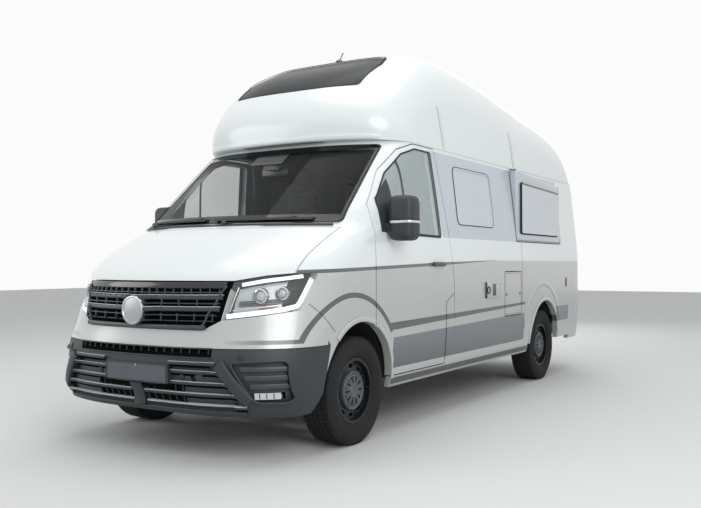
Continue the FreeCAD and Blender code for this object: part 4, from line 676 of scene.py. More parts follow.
def grown(name, tree, source=None, smooth=50.0, **values):
    """The mesh that a node tree makes, as an object without a modifier."""
    base = bpy.data.objects.new(name, source or bpy.data.meshes.new(name))
    bpy.context.scene.collection.objects.link(base)
    maker = base.modifiers.new(tree, "NODES")
    maker.node_group = bpy.data.node_groups[tree]
    for item in maker.node_group.interface.items_tree:
        if item.in_out == "INPUT" and item.name in values:
            maker[item.identifier] = values[item.name]
    mesh = applied(base)
    bpy.data.objects.remove(base)
    weld(mesh, smooth)
    return bpy.data.objects.new(name, mesh)


def path_mesh(name, rails, closed=False):
    """Paths of spots as one mesh of edges that carries the surface normal."""
    points, edges, ups = [], [], []
    for rail in rails:
        first = len(points)
        points += [place for place, _ in rail]
        ups += [part for _, normal in rail for part in normal]
        edges += [(i, i + 1) for i in range(first, len(points) - 1)]
        if closed:
            edges.append((len(points) - 1, first))
    mesh = bpy.data.meshes.new(name)
    mesh.from_pydata(points, edges, [])
    mesh.attributes.new("up", "FLOAT_VECTOR", "POINT").data.foreach_set("vector", ups)
    return mesh


def bars(name, node, finish, width, rise, rails, closed=False, lift=0.0):
    """Mouldings along several paths of spots, as one piece carried by a node."""
    source = path_mesh(name, [shifted(rail, lift - 0.001) for rail in rails], closed)
    fix(grown(name, "trim_strip", source, Width=width, Rise=rise + 0.001, Finish=MATERIAL[finish]), node)


def strip(name, node, finish, width, rise, place, *lines, radius=0.0, step=0.05, lift=0.0):
    """Mouldings along lines drawn on the body; with a corner radius each line is a closed outline."""
    closed = radius > 0
    rails = [trace(place, rounded(line_, radius) if closed else line_, step, closed) for line_ in lines]
    bars(name, node, finish, width, rise, rails, closed, lift)


def row(name, node, finish, part, spacing, place, *lines, step=0.05):
    """Equal parts along lines drawn on the body, as one piece."""
    source = path_mesh(name, [trace(place, line_, step) for line_ in lines])
    fix(grown(name, "row_of_parts", source, Part=part, Spacing=spacing, Finish=MATERIAL[finish]), node)
    bpy.data.objects.remove(part)


# Solid pieces

def brick(name, size, edge=0.0, centre=(0, 0, 0), finish=None, parts=2):
    """A block with rounded edges, its base centre at a point and Z up."""
    work = bmesh.new()
    bmesh.ops.create_cube(work, size=1.0)
    for vertex in work.verts:
        vertex.co = Vector([v * s for v, s in zip(vertex.co, size)]) + Vector((0, 0, size[2] / 2))
        vertex.co += Vector(centre)
    if edge:
        bmesh.ops.bevel(work, geom=work.edges[:], offset=edge, segments=parts, affect="EDGES", profile=0.5)
    mesh = bpy.data.meshes.new(name)
    work.to_mesh(mesh)
    work.free()
    if finish:
        mesh.materials.append(MATERIAL[finish])
    weld(mesh, 50.0)
    return bpy.data.objects.new(name, mesh)


def moved(piece, turn):
    """A piece whose mesh is moved by a matrix or to a place."""
    piece.data.transform(turn if isinstance(turn, Matrix) else Matrix.Translation(turn))
    return piece


def placed(piece, spot_here):
    """A piece drawn on the ground moved on to a spot, its Z along the spot's normal."""
    place, normal = spot_here
    along = Vector((0, 0, 1) if abs(normal.z) <= 0.95 else (0, 1, 0))
    across = along.cross(normal).normalized()
    turn = Matrix((across, normal.cross(across), normal)).transposed().to_4x4()
    return moved(piece, Matrix.Translation(place) @ turn)


def turned(name, profile, finish, steps=32, smooth=35.0):
    """A body of revolution about Z from pairs of radius and height; a zero radius closes it."""
    verts, faces = [], []
    for radius, height in profile:
        verts += [(radius * math.cos(math.tau * i / steps), radius * math.sin(math.tau * i / steps), height)
                  for i in range(steps)]
    for ring in range(len(profile) - 1):
        for i in range(steps):
            a, b = ring * steps + i, ring * steps + (i + 1) % steps
            faces.append((a, b, b + steps, a + steps))
    return mesh_object(name, verts, faces, finish, smooth)


def axled(piece, centre, sign):
    """A turned piece laid on a wheel's axle, its Z pointing outwards."""
    return moved(piece, Matrix.Translation(centre) @ Matrix.Rotation(sign * math.pi / 2, 4, "Y"))


def patch(name, place, low, high, finish, wall=0.004, lift=0.0, rows=6, columns=1):
    """A skin stretched on the body between two lines of equally many points, with a wall."""
    low, high = [fill(side, columns) for side in (low, high)]
    grid = [place(*[a + (b - a) * i / rows for a, b in zip(start, end)])
            for i in range(rows + 1) for start, end in zip(low, high)]
    wide, count = len(low), len(grid)
    faces = []
    for i in range(rows):
        for a in range(i * wide, i * wide + wide - 1):
            faces.append((a, a + 1, a + 1 + wide, a + wide))
            faces.append((a + count, a + wide + count, a + 1 + wide + count, a + 1 + count))
    rim = list(range(wide)) + [i * wide + wide - 1 for i in range(1, rows + 1)]
    rim += [rows * wide + j for j in range(wide - 2, -1, -1)] + [i * wide for i in range(rows - 1, 0, -1)]
    for a, b in zip(rim, rim[1:] + rim[:1]):
        faces.append((b, a, a + count, b + count))
    verts = [point for level in (lift, lift - wall) for point, _ in shifted(grid, level)]
    return mesh_object(name, verts, faces, finish)


def stud(name, finish, radius, rise, dome=0.4, steps=24):
    """A round cap on the ground with a chamfer and a shallow dome."""
    return turned(name, [(0, 0), (radius, 0), (radius, rise * 0.6), (radius * 0.86, rise),
                         (radius * 0.5, rise * (1 + dome * 0.5)), (0, rise * (1 + dome))], finish, steps)


# Outside

class CAMPER_OT_body_skins(bpy.types.Operator):
    """Paints the body panels, lines their inner sides and lays the arch lips and seams"""

    bl_idname = "camper.body_skins"
    bl_label = "Body panels"

    def execute(self, context):
        for node in ("side_wall_left", "side_wall_right", "sliding_door", "rear_door_left", "rear_door_right",
                     "cab_frame", "high_roof"):
            skin(node, [PAINT, "grey_lining"], faces_inwards)
        for node, paint in (("bonnet", "plain_body_paint"), ("front_wings", PAINT), ("service_flap", PAINT),
                            ("front_fascia", PAINT), ("sill_trims", "silver_body_paint")):
            skin(node, paint)
        for sign, side in LEFT_RIGHT:
            skin("cab_door_" + side, [PAINT, "grey_lining", "grey_pa"], self.door_finish)
            self.flank(side, on_side(sign))
        self.roof_lines()
        return {"FINISHED"}

    @staticmethod
    def door_finish(face):
        """Grey on the pull handle, lining inside, paint elsewhere."""
        centre = face.center
        if abs(centre.x) > 1.0215 and 2.04 < centre.y - FRONT < 2.24 and 1.15 < centre.z < 1.21:
            return 2
        return faces_inwards(face)

    def flank(self, side, place):
        """Raised lips round the wheel openings, seams, and the sill's foil strip and metal edge."""
        front = arc((WHEEL_STATIONS["front"], 0.387), 0.438, 180, 0, 64)
        rear = arc((WHEEL_STATIONS["rear"], 0.388), 0.438, 178, 2, 48)
        wall = "side_wall_" + side
        for name, node, finish, width, rise, run in (
                ("front_lip", "front_wings", PAINT, 0.034, 0.009,
                 [p for p in front if p[0] < 1.185 and p[1] > 0.70]),
                ("door_lip", "cab_door_" + side, PAINT, 0.034, 0.009, [p for p in front if p[0] > 1.215]),
                ("rear_lip", wall, PAINT, 0.034, 0.009, rear),
                ("rear_swell", wall, PAINT, 0.050, 0.003, arc((4.59, 0.42), 0.565, 165, 20, 40)),
                ("wing_seam", "front_wings", "epdm_rubber", 0.004, 0.001,
                 [(0.476, 0.946), (0.580, 0.858), (0.688, 0.762)]),
                ("wall_seam", wall, "epdm_rubber", 0.004, 0.001,
                 [(3.985, 1.385), (3.985, 0.800)])):
            strip(f"{name}_{side}", node, finish, width, rise, place, run)
        for name, finish, width, rise, z in (("sill_foil", "stripe_foil", 0.044, 0.002, 0.366),
                                             ("sill_edge", "anodised_aluminium", 0.009, 0.006, 0.3375)):
            strip(f"{name}_{side}", "sill_trims", finish, width, rise, place, [(1.440, z), (4.165, z)],
                  step=0.12)

    def roof_lines(self):
        """Seams of the moulded roof, raised swages beside them and the drip lip over the screen."""
        runs = [(2.307, 2.448), (2.396, 2.187), (2.414, 2.112)], [(3.864, 2.441), (3.966, 2.112)]
        for name, finish, width, rise, shift in (("roof_seams", "epdm_rubber", 0.005, 0.001, 0.0),
                                                 ("roof_swages", PAINT, 0.030, 0.005, 0.045)):
            bars(name, "high_roof", finish, width, rise, [
                trace(on_side(sign), [(s + shift, z) for s, z in run])
                for sign, _ in LEFT_RIGHT for run in runs])
        strip("drip_lip", "high_roof", PAINT, 0.036, 0.012, on_front, sweep(16, 2.122))


class CAMPER_OT_front(bpy.types.Operator):
    """Grille, bumper trim, headlamp insides and fog lamps"""

    bl_idname = "camper.front"
    bl_label = "Front"

    def execute(self, context):
        self.grille(context.scene.camper_sizes.slat)
        self.bumper()
        self.bumper_fittings()
        for sign, side in LEFT_RIGHT:
            self.headlamp(sign, side)
        return {"FINISHED"}

    @staticmethod
    def levels(*heights, short=0.0):
        """Level lines between the grille's slanted ends, one a side where the disc lies between them."""
        lines = []
        for z in heights:
            half = (0.583 - (1.055 - z) * 0.14 if z > 0.85 else 0.554 - (0.85 - z) * 1.3) - short
            if abs(z - DISC_HEIGHT) > 0.091:
                lines.append([(-half, z), (half, z)])
            else:
                gap = math.sqrt(0.0915 ** 2 - (z - DISC_HEIGHT) ** 2) + 0.002
                lines += pairs([(gap, z), (half, z)])
        return lines

    def grille(self, slat):
        """Bold slats with pale lines along their upper edges as painted highlights, thin lines and ribs
        between them, and a plain disc.
        """
        disc = lambda face: int(face.center.y < at(0.036)
                                and math.hypot(face.center.x, face.center.z - DISC_HEIGHT) < 0.089)
        # Painted shade: all of the grille's body but the disc is near-black, for the shade in its recesses.
        skin("grille", ["shadow_mesh", "anodised_aluminium"], disc)
        for name, finish, width, rise, heights in (
                ("band", "gloss_abs", 0.042, 0.014, (1.055,)),
                ("slats", "grille_asa", slat, 0.022, (0.984, 0.914, 0.808)),
                # Painted highlights: pale lines along the slats' upper edges.
                ("edges", "graphite_pc", 0.0045, 0.026, (0.984 + slat / 2, 0.914 + slat / 2)),
                ("lines", "grille_asa", 0.006, 0.015, (1.014, 0.949, 0.879, 0.845))):
            strip("grille_" + name, "grille", finish, width, rise, on_front, *self.levels(*heights),
                  step=0.06)
        for name, z, gap in (("upper", 1.012, 0.058), ("middle", 0.950, 0.105), ("lower", 0.865, 0.105)):
            rib = brick("rib", (0.005, 0.050, 0.014), 0.001)
            row("grille_ribs_" + name, "grille", "grille_asa", rib, gap, on_front,
                *self.levels(z, short=0.02), step=0.06)
        strip("grille_facets", "grille", "grille_asa", 0.010, 0.024, on_front,
              *pairs([(0.585, 1.05), (0.470, 0.80)]))
        back = spot(("grille",), (0.05, -6, DISC_HEIGHT), (0, 1, 0))[0].y
        face = turned("disc_face", [
            (0, -0.004), (0.0885, -0.004), (0.0900, 0.020), (0.0870, 0.025), (0.0800, 0.026), (0.0760, 0.021),
            (0.040, 0.024), (0, 0.025)], "anodised_aluminium", 64)
        lay("disc_face", "grille", [placed(face, (Vector((0, back, DISC_HEIGHT)), Vector((0, -1, 0))))])

    @staticmethod
    def net(start, end, low, high, columns):
        """Near-black sheet on the bumper between two level lines, painted shade in the open mesh."""
        return patch("net", on_front, [(start, low), (end, low)], [(start, high), (end, high)],
                     "shadow_mesh", 0.003, 0.002, 1, columns)

    def bumper(self):
        """Slot with ribs, slatted openings with nets, and posts."""
        for node, finish in (("front_bumper", "moulded_pp"), ("front_plate", "pressed_plate"),
                             ("fog_lamps", "chrome_film")):
            skin(node, finish)
        # Painted shade: near-black sheets fill the slot and the low openings.
        lay("slot_net", "front_bumper", [self.net(-0.552, 0.552, 0.640, 0.680, 24)])
        lay("bumper_nets", "front_bumper", [
            self.net(sign * 0.06, sign * 0.37, low, low + 0.041, 8)
            for low in (0.362, 0.427) for sign, _ in LEFT_RIGHT])
        row("slot_ribs", "front_bumper", "moulded_pp", brick("rib", (0.006, 0.044, 0.016), 0.001), 0.062,
            on_front, [(-0.53, 0.660), (0.53, 0.660)])
        row("bumper_ribs", "front_bumper", "moulded_pp", brick("rib", (0.004, 0.044, 0.010), 0.001), 0.052,
            on_front, *pairs(*[[(0.08, z), (0.36, z)] for z in (0.383, 0.447)]))
        runs = [[(0.275 if z > 0.46 else 0.055, z), (0.585 + (0.605 - z) * 0.70, z)]
                for z in (0.598, 0.545, 0.480, 0.415, 0.350)]
        # Each slat gets a pale line on its top as painted highlight and a dark line under it as painted
        # shadow.
        tops = [[(x, z + 0.010) for x, z in run] for run in runs]
        slats = [trace(on_front, run) for run in pairs(*runs)]
        slat_shadows = [[(place - Vector((0, 0, 0.017)), normal) for place, normal in rail] for rail in slats]
        bars("bumper_slats", "front_bumper", "moulded_pp", 0.020, 0.018, slats)
        bars("bumper_gaps", "front_bumper", "shadow_mesh", 0.014, 0.003, slat_shadows)
        outlines = [box(-0.258, 0.472, 0.258, 0.580)]
        frames = pairs([(0.672, 0.612), (0.948, 0.622), (0.962, 0.372), (0.808, 0.378)])
        for name, node, finish, width, rise, lines, more in (
                ("slot_edges", "front_bumper", "moulded_pp", 0.009, 0.008,
                 [[(-0.558, z), (0.558, z)] for z in (0.633, 0.687)], {"step": 0.06}),
                # Painted highlight along each slat's top.
                ("bumper_slat_tops", "front_bumper", "graphite_pc", 0.003, 0.020, pairs(*tops), {}),
                ("bumper_post", "front_bumper", "moulded_pp", 0.090, 0.020, [[(0, 0.462), (0, 0.335)]], {}),
                ("bumper_lip", "front_bumper", "moulded_pp", 0.030, 0.012, [sweep(15, 0.312)], {}),
                ("plate_edge", "front_plate", "moulded_pp", 0.008, 0.004, outlines,
                 {"radius": 0.010, "step": 0.06}),
                ("slanted_posts", "front_bumper", "moulded_pp", 0.070, 0.024,
                 pairs([(0.612, 0.600), (0.778, 0.385)]), {}),
                ("fog_slats", "front_bumper", "grille_asa", 0.034, 0.016,
                 pairs(*[[(0.705 + (0.61 - z) * 0.5, z), (0.935, z)] for z in (0.572, 0.522, 0.472)]), {}),
                ("fog_frames", "front_bumper", "moulded_pp", 0.014, 0.012, frames, {"radius": 0.03}),
                ("fog_facets", "fog_lamps", "gloss_abs", 0.006, 0.003,
                 pairs(*[[(x, 0.402), (x, 0.432)] for x in (0.832, 0.864, 0.894)]), {})):
            strip(name, node, finish, width, rise, on_front, *lines, **more)

    def bumper_fittings(self):
        """Plate screw, towing-eye cap and parking sensors."""
        screw = stud("screw", "zinc_steel", 0.008, 0.003)
        lay("plate_screw", "front_plate", [placed(screw, on_front(0, 0.568))])
        caps = [placed(stud("cap", "moulded_pp", 0.029, 0.003, 0.2), on_front(0.475, 0.52))]
        for x, z in ((-0.350, 0.512), (0.350, 0.512), (0.730, 0.640), (-0.730, 0.640)):
            rim = turned("sensor", [(0.011, 0.0), (0.017, 0.0), (0.017, 0.006), (0.011, 0.007)],
                         "gloss_abs", 24)
            caps += [placed(piece, on_front(x, z))
                     for piece in (rim, stud("sensor", "moulded_pp", 0.011, 0.005))]
        lay("bumper_caps", "front_bumper", caps)

    def headlamp(self, sign, side):
        """Clear cover over a metallised bowl, two projector lenses and the light guide round the edge."""
        mirror = lambda *points: [(sign * x, z) for x, z in points]
        low = mirror((0.625, 0.880), (0.70, 0.893), (0.80, 0.907), (0.88, 0.922))
        high = mirror((0.650, 1.050), (0.72, 1.068), (0.80, 1.083), (0.88, 1.098))
        parts = [patch("bowl", on_front, low, high, "graphite_pc", 0.004, -0.062, 6, 3)]
        for x, z, r in ((0.745, 0.995, 0.036), (0.842, 1.010, 0.032)):
            place, _ = on_front(sign * x, z)
            seat = (place + Vector((0, 0.060, 0)), Vector((sign * 0.25, -1, 0)).normalized())
            rim = [(r, 0), (r + 0.012, 0), (r + 0.010, 0.022), (r, 0.026), (r - 0.004, 0.010), (r, 0)]
            lens = [(0, 0.004), (r - 0.004, 0.004), (r - 0.006, 0.012), (r * 0.5, 0.022), (0, 0.026)]
            parts += [placed(turned("ring", rim, "chrome_film", 40), seat),
                      placed(turned("lens", lens, "clear_pmma", 40), seat)]
        lay("headlamp_bowl_" + side, "headlamps", parts)
        bottom = trace(on_front, mirror((0.609, 0.876), (0.70, 0.888), (0.80, 0.902), (0.885, 0.917)))
        rear = trace(on_side(sign), [(0.372, 0.925), (0.412, 0.935), (0.434, 0.962), (0.530, 1.098)])
        bars("light_guide_" + side, "headlamps", "light_guide", 0.030, 0.006, [bottom + rear], lift=-0.014)
        for name, finish, width, rise, lift, lines in (
                ("headlamp_steps", "gloss_abs", 0.006, 0.006, -0.052,
                 [mirror((0.66, z), (0.90, z + 0.018)) for z in (0.945, 0.957, 0.969)]),
                ("headlamp_amber", "amber_pmma", 0.014, 0.006, -0.044,
                 [mirror((0.770, 0.934), (0.850, 0.946))]),
                ("guide_top", "light_guide", 0.024, 0.006, -0.014,
                 [mirror((0.930, 1.116), (0.90, 1.110), (0.77, 1.088), (0.665, 1.064))]),
                ("guide_edges", "chrome_film", 0.007, 0.008, -0.016,
                 [mirror((0.640, 0.912), (0.70, 0.920), (0.80, 0.932), (0.87, 0.944)),
                  mirror((0.652, 1.050), (0.625, 0.905))])):
            strip(f"{name}_{side}", "headlamps", finish, width, rise, on_front, *lines, lift=lift)


class CAMPER_OT_screen(bpy.types.Operator):
    """Cowl, wiper arms and inner mirror"""

    bl_idname = "camper.screen"
    bl_label = "Windscreen fittings"

    def execute(self, context):
        strip("cowl_strip", "cab_frame", "moulded_pp", 0.022, 0.005, on_front, sweep(17, 1.448))
        skin("wipers", "epdm_rubber")
        arms, pivots = [], []
        for x, reach in ((-0.60, -0.10), (0.12, 0.62)):
            low, high = on_front(x, 1.455), on_front(reach, 1.488)
            arms.append([low, (high[0] + high[1] * 0.012, high[1])])
            pivots.append(placed(stud("pivot", "moulded_pp", 0.020, 0.022), low))
        bars("wiper_arms", "wipers", "moulded_pp", 0.016, 0.010, arms, lift=0.004)
        lay("wiper_pivots", "wipers", pivots)
        glass, slope = on_front(0, 1.955)
        inside = glass - slope * 0.050
        lay("inner_mirror", "cab_frame", [
            brick("glass", (0.24, 0.020, 0.070), 0.008, inside + Vector((0, 0.06, -0.065)), "gloss_abs"),
            brick("case", (0.11, 0.060, 0.045), 0.010, inside + Vector((0, 0.01, -0.02)), "grey_lining")])
        return {"FINISHED"}


class CAMPER_OT_glazing(bpy.types.Operator):
    """Glazes all windows and fits their rubbers"""

    bl_idname = "camper.glazing"
    bl_label = "Glazing"

    # Outlines by station and height, and the rear door's by width and height.
    CAB = [(1.300, 1.412), (2.222, 1.398), (2.170, 2.052), (1.905, 2.052), (1.715, 1.994), (1.490, 1.836),
           (1.300, 1.622)]
    MID = box(2.570, 1.520, 3.310, 1.970)
    POD = [(3.870, 1.405), (5.150, 1.405), (5.150, 2.000), (3.870, 2.080)]
    PANE = [(3.960, 1.480), (5.060, 1.480), (5.060, 1.930), (3.960, 1.960)]
    REAR = [(0.090, 1.440), (0.800, 1.440), (0.740, 1.960), (0.090, 1.960)]
    SCREEN = [(-0.874, 1.464), (0.874, 1.464), (0.814, 2.060), (-0.814, 2.060)]
    ROOF = [(-0.585, 2.540), (0.585, 2.540), (0.595, 2.755), (0.5375, 2.862), (-0.5375, 2.862),
            (-0.595, 2.755)]

    def execute(self, context):
        seal = context.scene.camper_sizes.seal
        skin("side_windows", ["tinted_acrylic", "epdm_rubber"], lambda face: int(abs(face.normal.x) < 0.8))
        skin("side_pods", [PAINT, "grey_lining"], faces_inwards)
        for node, finish in (("windshield", "laminated_windscreen"), ("roof_window", "roof_glass"),
                             ("roof_hatch", "wet_room_abs")):
            skin(node, finish)
        for sign, side in LEFT_RIGHT:
            self.flank(sign, side, seal)
            skin("door_glass_" + side, "tinted_float_glass")
            skin("rear_glass_" + side, "smoked_rear_glass")
            strip("rear_rubber_" + side, "rear_door_" + side, "epdm_rubber", seal * 1.4, 0.004, on_rear,
                  [(sign * x, z) for x, z in self.REAR], radius=0.030)
        strip("screen_rubber", "cab_frame", "epdm_rubber", seal, 0.003, on_front, self.SCREEN, radius=0.03)
        strip("roof_glass_edge", "roof_window", "epdm_rubber", seal, 0.004, on_front, self.ROOF, radius=0.02)
        return {"FINISHED"}

    def flank(self, sign, side, seal):
        """Rubbers, the cab window's bar and rear post, and the panes' dark outlines."""
        place, door = on_side(sign), "cab_door_" + side
        wall = "side_wall_left" if sign > 0 else "sliding_door"
        for name, node, finish, width, rise, outline, radius, step in (
                ("cab_rubber", door, "epdm_rubber", seal, 0.004, self.CAB, 0.022, 0.05),
                ("cab_bar", door, "gloss_abs", 0.022, 0.004, [(1.634, 1.935), (1.663, 1.669), (1.690, 1.412)],
                 0, 0.05),
                ("cab_post", door, "gloss_abs", 0.034, 0.003, [(2.202, 1.405), (2.150, 2.046)], 0, 0.05),
                ("mid_rubber", wall, "epdm_rubber", 0.007, 0.005, grown_box(self.MID, 0.014), 0.06, 0.05),
                ("mid_frame", wall, "tinted_acrylic", 0.016, 0.004, grown_box(self.MID, 0.004), 0.05, 0.05),
                ("pod_line", "side_pods", "epdm_rubber", 0.008, 0.003, grown_box(self.POD, 0.008), 0.02,
                 0.08)):
            strip(f"{name}_{side}", node, finish, width, rise, place, outline, radius=radius, step=step)
        proud = lambda x, points: [[(Vector((sign * x, at(s), z)), Vector((sign, 0, 0))) for s, z in points]]
        outer = proud(1.012, rounded(grown_box(self.PANE, 0.006), 0.03))
        bars("pane_seal_" + side, "side_windows", "epdm_rubber", 0.012, 0.008, outer, True)
        hinge = proud(1.013, [(s, 1.956 - (s - 3.96) * 0.024) for s in (3.98, 5.05)])
        bars("pane_hinge_" + side, "side_windows", "gloss_abs", 0.022, 0.022, hinge)


class CAMPER_OT_sides(bpy.types.Operator):
    """Mirrors, handles, power inlet, service flap and sliding rail"""

    bl_idname = "camper.sides"
    bl_label = "Side fittings"

    def execute(self, context):
        for sign, side in LEFT_RIGHT:
            self.mirror(sign, side)
            self.door("cab_door_" + side, side, on_side(sign))
        self.service_side(on_side(1))
        self.sliding_side(on_side(-1))
        return {"FINISHED"}

    def mirror(self, sign, side):
        """Rounded housing with a bright band, its arm, and both mirror glasses."""
        middle = Vector((sign * 1.116, at(1.4175), 0))
        parts = (((0.190, 0.172, 0.313), 0.050, 0, 0, 1.346, "moulded_pp"),
                 ((0.120, 0.085, 0.070), 0.022, -0.100, -0.030, 1.400, "moulded_pp"),
                 ((0.150, 0.006, 0.150), 0.002, 0, 0.0855, 1.495, "mirror_glass"),
                 ((0.150, 0.006, 0.080), 0.002, 0, 0.0855, 1.385, "mirror_glass"))
        made = lay("mirror_housing_" + side, "mirror_" + side, [
            brick("part", size, edge, middle + Vector((sign * across, back, height)), finish, 4)
            for size, edge, across, back, height, finish in parts])
        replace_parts(made, "mirror_" + side)
        outline = rounded(box(-0.095, -0.086, 0.095, 0.086), 0.050, 6)
        for name, z, wide, rise, finish in (("band", 1.474, 0.018, 0.003, "chrome_film"),
                                            ("gap", 1.489, 0.006, 0.001, "epdm_rubber")):
            ring = [(middle + Vector((sign * x, y, z)), Vector((sign * x, y, 0)).normalized())
                    for x, y in outline]
            bars(f"mirror_{name}_{side}", "mirror_" + side, finish, wide, rise, [ring], True)

    def door(self, node, side, place):
        """Sail panel before the glass, lock beside the handle and the belt strip."""
        sail = patch("sail", place, [(1.292, 1.406), (1.475, 1.406)], [(1.302, 1.640), (1.475, 1.790)],
                     "moulded_pp", 0.004, 0.004, 8, 6)
        lay("door_fittings_" + side, node, [
            sail, placed(stud("lock", "zinc_steel", 0.011, 0.004), place(2.012, 1.172))])
        strip("belt_strip_" + side, node, "epdm_rubber", 0.016, 0.007, place,
              [(1.475, 1.404), (2.205, 1.394)])

    def service_side(self, place):
        """Power inlet with its cover, the flap's frame and locks, and a side marker."""
        skin("power_inlet", ["gloss_abs", "silver_body_paint"], lambda face: int(face.center.y > at(3.160)))
        strip("inlet_frame", "power_inlet", "silver_body_paint", 0.012, 0.004, place,
              box(3.196, 0.896, 3.384, 1.017), radius=0.014, step=0.04)
        recess = patch("recess", place, [(3.205, 0.905), (3.285, 0.905)], [(3.205, 1.008), (3.285, 1.008)],
                       "gloss_abs", 0.002, 0.002, 2, 2)
        socket = turned("socket", [(0.022, 0), (0.034, 0), (0.034, 0.004), (0.030, 0.007), (0.022, 0.003),
                                   (0.022, 0)], "moulded_pp", 36)
        lay("inlet_socket", "power_inlet", [recess, placed(socket, place(3.118, 0.956))])
        strip("flap_line", "service_flap", "stripe_foil", 0.004, 0.001, place,
              box(3.542, 0.722, 3.948, 1.098), radius=0.02, step=0.06)
        lay("flap_locks", "service_flap", [
            placed(stud("lock", "grey_pa", 0.013, 0.003), place(s, 0.905)) for s in (3.575, 3.915)])
        strip("side_marker", "side_wall_left", "gloss_abs", 0.046, 0.005, place,
              [(5.350, 0.935), (5.350, 1.035)])

    def sliding_side(self, place):
        """Rail cover and handle of the sliding door on the right."""
        strip("slide_rail", "side_wall_right", "dip_coat", 0.028, 0.005, place,
              [(3.850, 1.140), (5.420, 1.140)], step=0.12)
        grip = [shifted(trace(place, [(2.600, 1.183), (2.780, 1.183)]), 0.012)]
        bars("slide_handle", "sliding_door", "grey_pa", 0.030, 0.014, grip)
        lay("slide_handle_feet", "sliding_door", [
            placed(stud("foot", "moulded_pp", 0.014, 0.013), place(s, 1.183)) for s in (2.615, 2.765)])


class CAMPER_OT_wheels(bpy.types.Operator):
    """Treaded tyres and slotted steel wheels with hub caps"""

    bl_idname = "camper.wheels"
    bl_label = "Wheels"

    # Radius and distance from the tyre's middle plane, from the outer bead over the tread to the inner one.
    HALF_SECTION = [(0.2155, 0.080), (0.221, 0.092), (0.230, 0.100), (0.238, 0.1045), (0.242, 0.1035),
                    (0.258, 0.112), (0.262, 0.1105), (0.280, 0.1165), (0.296, 0.1155), (0.300, 0.1135),
                    (0.304, 0.1140), (0.322, 0.1085), (0.334, 0.102), (0.343, 0.0975), (0.3465, 0.088)]
    # The same for the hub cap, and the place, size and edge of what repeats round it.
    CAP_SECTION = [(0.1275, 0.052), (0.1310, 0.062), (0.1270, 0.0775), (0.120, 0.0825), (0.113, 0.0795),
                   (0.106, 0.0725), (0.086, 0.0785), (0.080, 0.0810), (0.052, 0.0825), (0.047, 0.0875),
                   (0.040, 0.0880), (0.036, 0.0860), (0, 0.0870)]
    # The slot parts and the parts between the spokes are near-black sheets, painted shade where the wheel and
    # cap are open.
    CAP_PARTS = (("slot", (0.003, 0.052, 0.030), 0.0014, 0.146, 0.0545, "shadow_mesh", 0.0),
                 ("slot_lip", (0.002, 0.060, 0.038), 0.0009, 0.142, 0.0540, "grey_pa", 0.0),
                 ("spoke", (0.005, 0.014, 0.044), 0.0012, 0.052, 0.0825, "grey_pa", 0.0),
                 ("gap", (0.002, 0.009, 0.038), 0.0, 0.056, 0.0822, "shadow_mesh", 0.5))

    def execute(self, context):
        sizes = context.scene.camper_sizes
        for end, station in WHEEL_STATIONS.items():
            for sign, side in LEFT_RIGHT:
                centre = Vector((sign * HALF_TRACK, at(station), AXLE_HEIGHT))
                self.tyre(f"{end}_{side}", centre, sizes.tread_blocks)
                self.rim(f"{end}_{side}", centre, sign, sizes.wheel_slots)
        return {"FINISHED"}

    @staticmethod
    def ring(kind, size, edge, out, finish, smooth, **values):
        """Equal blocks in a ring about the axle."""
        part = brick(kind, size, edge, (out, 0, 0), None, 1)
        made = grown(kind, "ring_of_parts", None, smooth, Part=part, Finish=MATERIAL[finish], **values)
        bpy.data.objects.remove(part)
        return made

    def tyre(self, name, centre, count):
        """Lathed carcass with rings on its walls, and five rings of tread blocks."""
        half = self.HALF_SECTION
        section = half + [(r, -x) for r, x in reversed(half)] + half[:1]
        pieces = [axled(turned("carcass", section, "carbon_black_rubber", 72, 30), Vector(), 1)]
        for x, wide, phase, depth in ((0, 0.028, 0, 0.0075), (0.036, 0.030, 0.5, 0.0075),
                                      (-0.036, 0.030, 0.5, 0.0075), (0.077, 0.036, 0.2, 0.0065),
                                      (-0.077, 0.036, 0.2, 0.0065)):
            pieces.append(self.ring("blocks", (wide, 0.0285, depth), 0.0, x, "carbon_black_rubber", 20,
                                    Count=count, Radius=0.3463, Phase=phase))
        made = moved(join("tyre_" + name + "_treaded", pieces), centre)
        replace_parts(fix(made, "tyre_" + name), "tyre_" + name)

    def rim(self, name, centre, sign, count):
        """Black steel wheel with slots, and a grey cap with spokes round a plain middle; near-black sheets in
        the slots and between the spokes are painted shade.
        """
        skin("rim_" + name, "enamelled_steel")
        pieces = [axled(turned("cap", self.CAP_SECTION, "grey_pa", 64), Vector(), sign)]
        for kind, size, edge, radius, out, finish, phase in self.CAP_PARTS:
            pieces.append(self.ring(kind, size, edge, sign * out, finish, 30,
                                    Count=count, Radius=radius, Phase=phase))
        valve = turned("valve", [(0.004, 0), (0.004, 0.020), (0.0045, 0.021), (0.0045, 0.032), (0, 0.033)],
                       "epdm_rubber", 16)
        pieces.append(axled(moved(valve, (0, 0.178, 0)), Vector((sign * 0.055, 0, 0)), sign))
        fix(moved(join("hub_cap_" + name, pieces), centre), "rim_" + name)


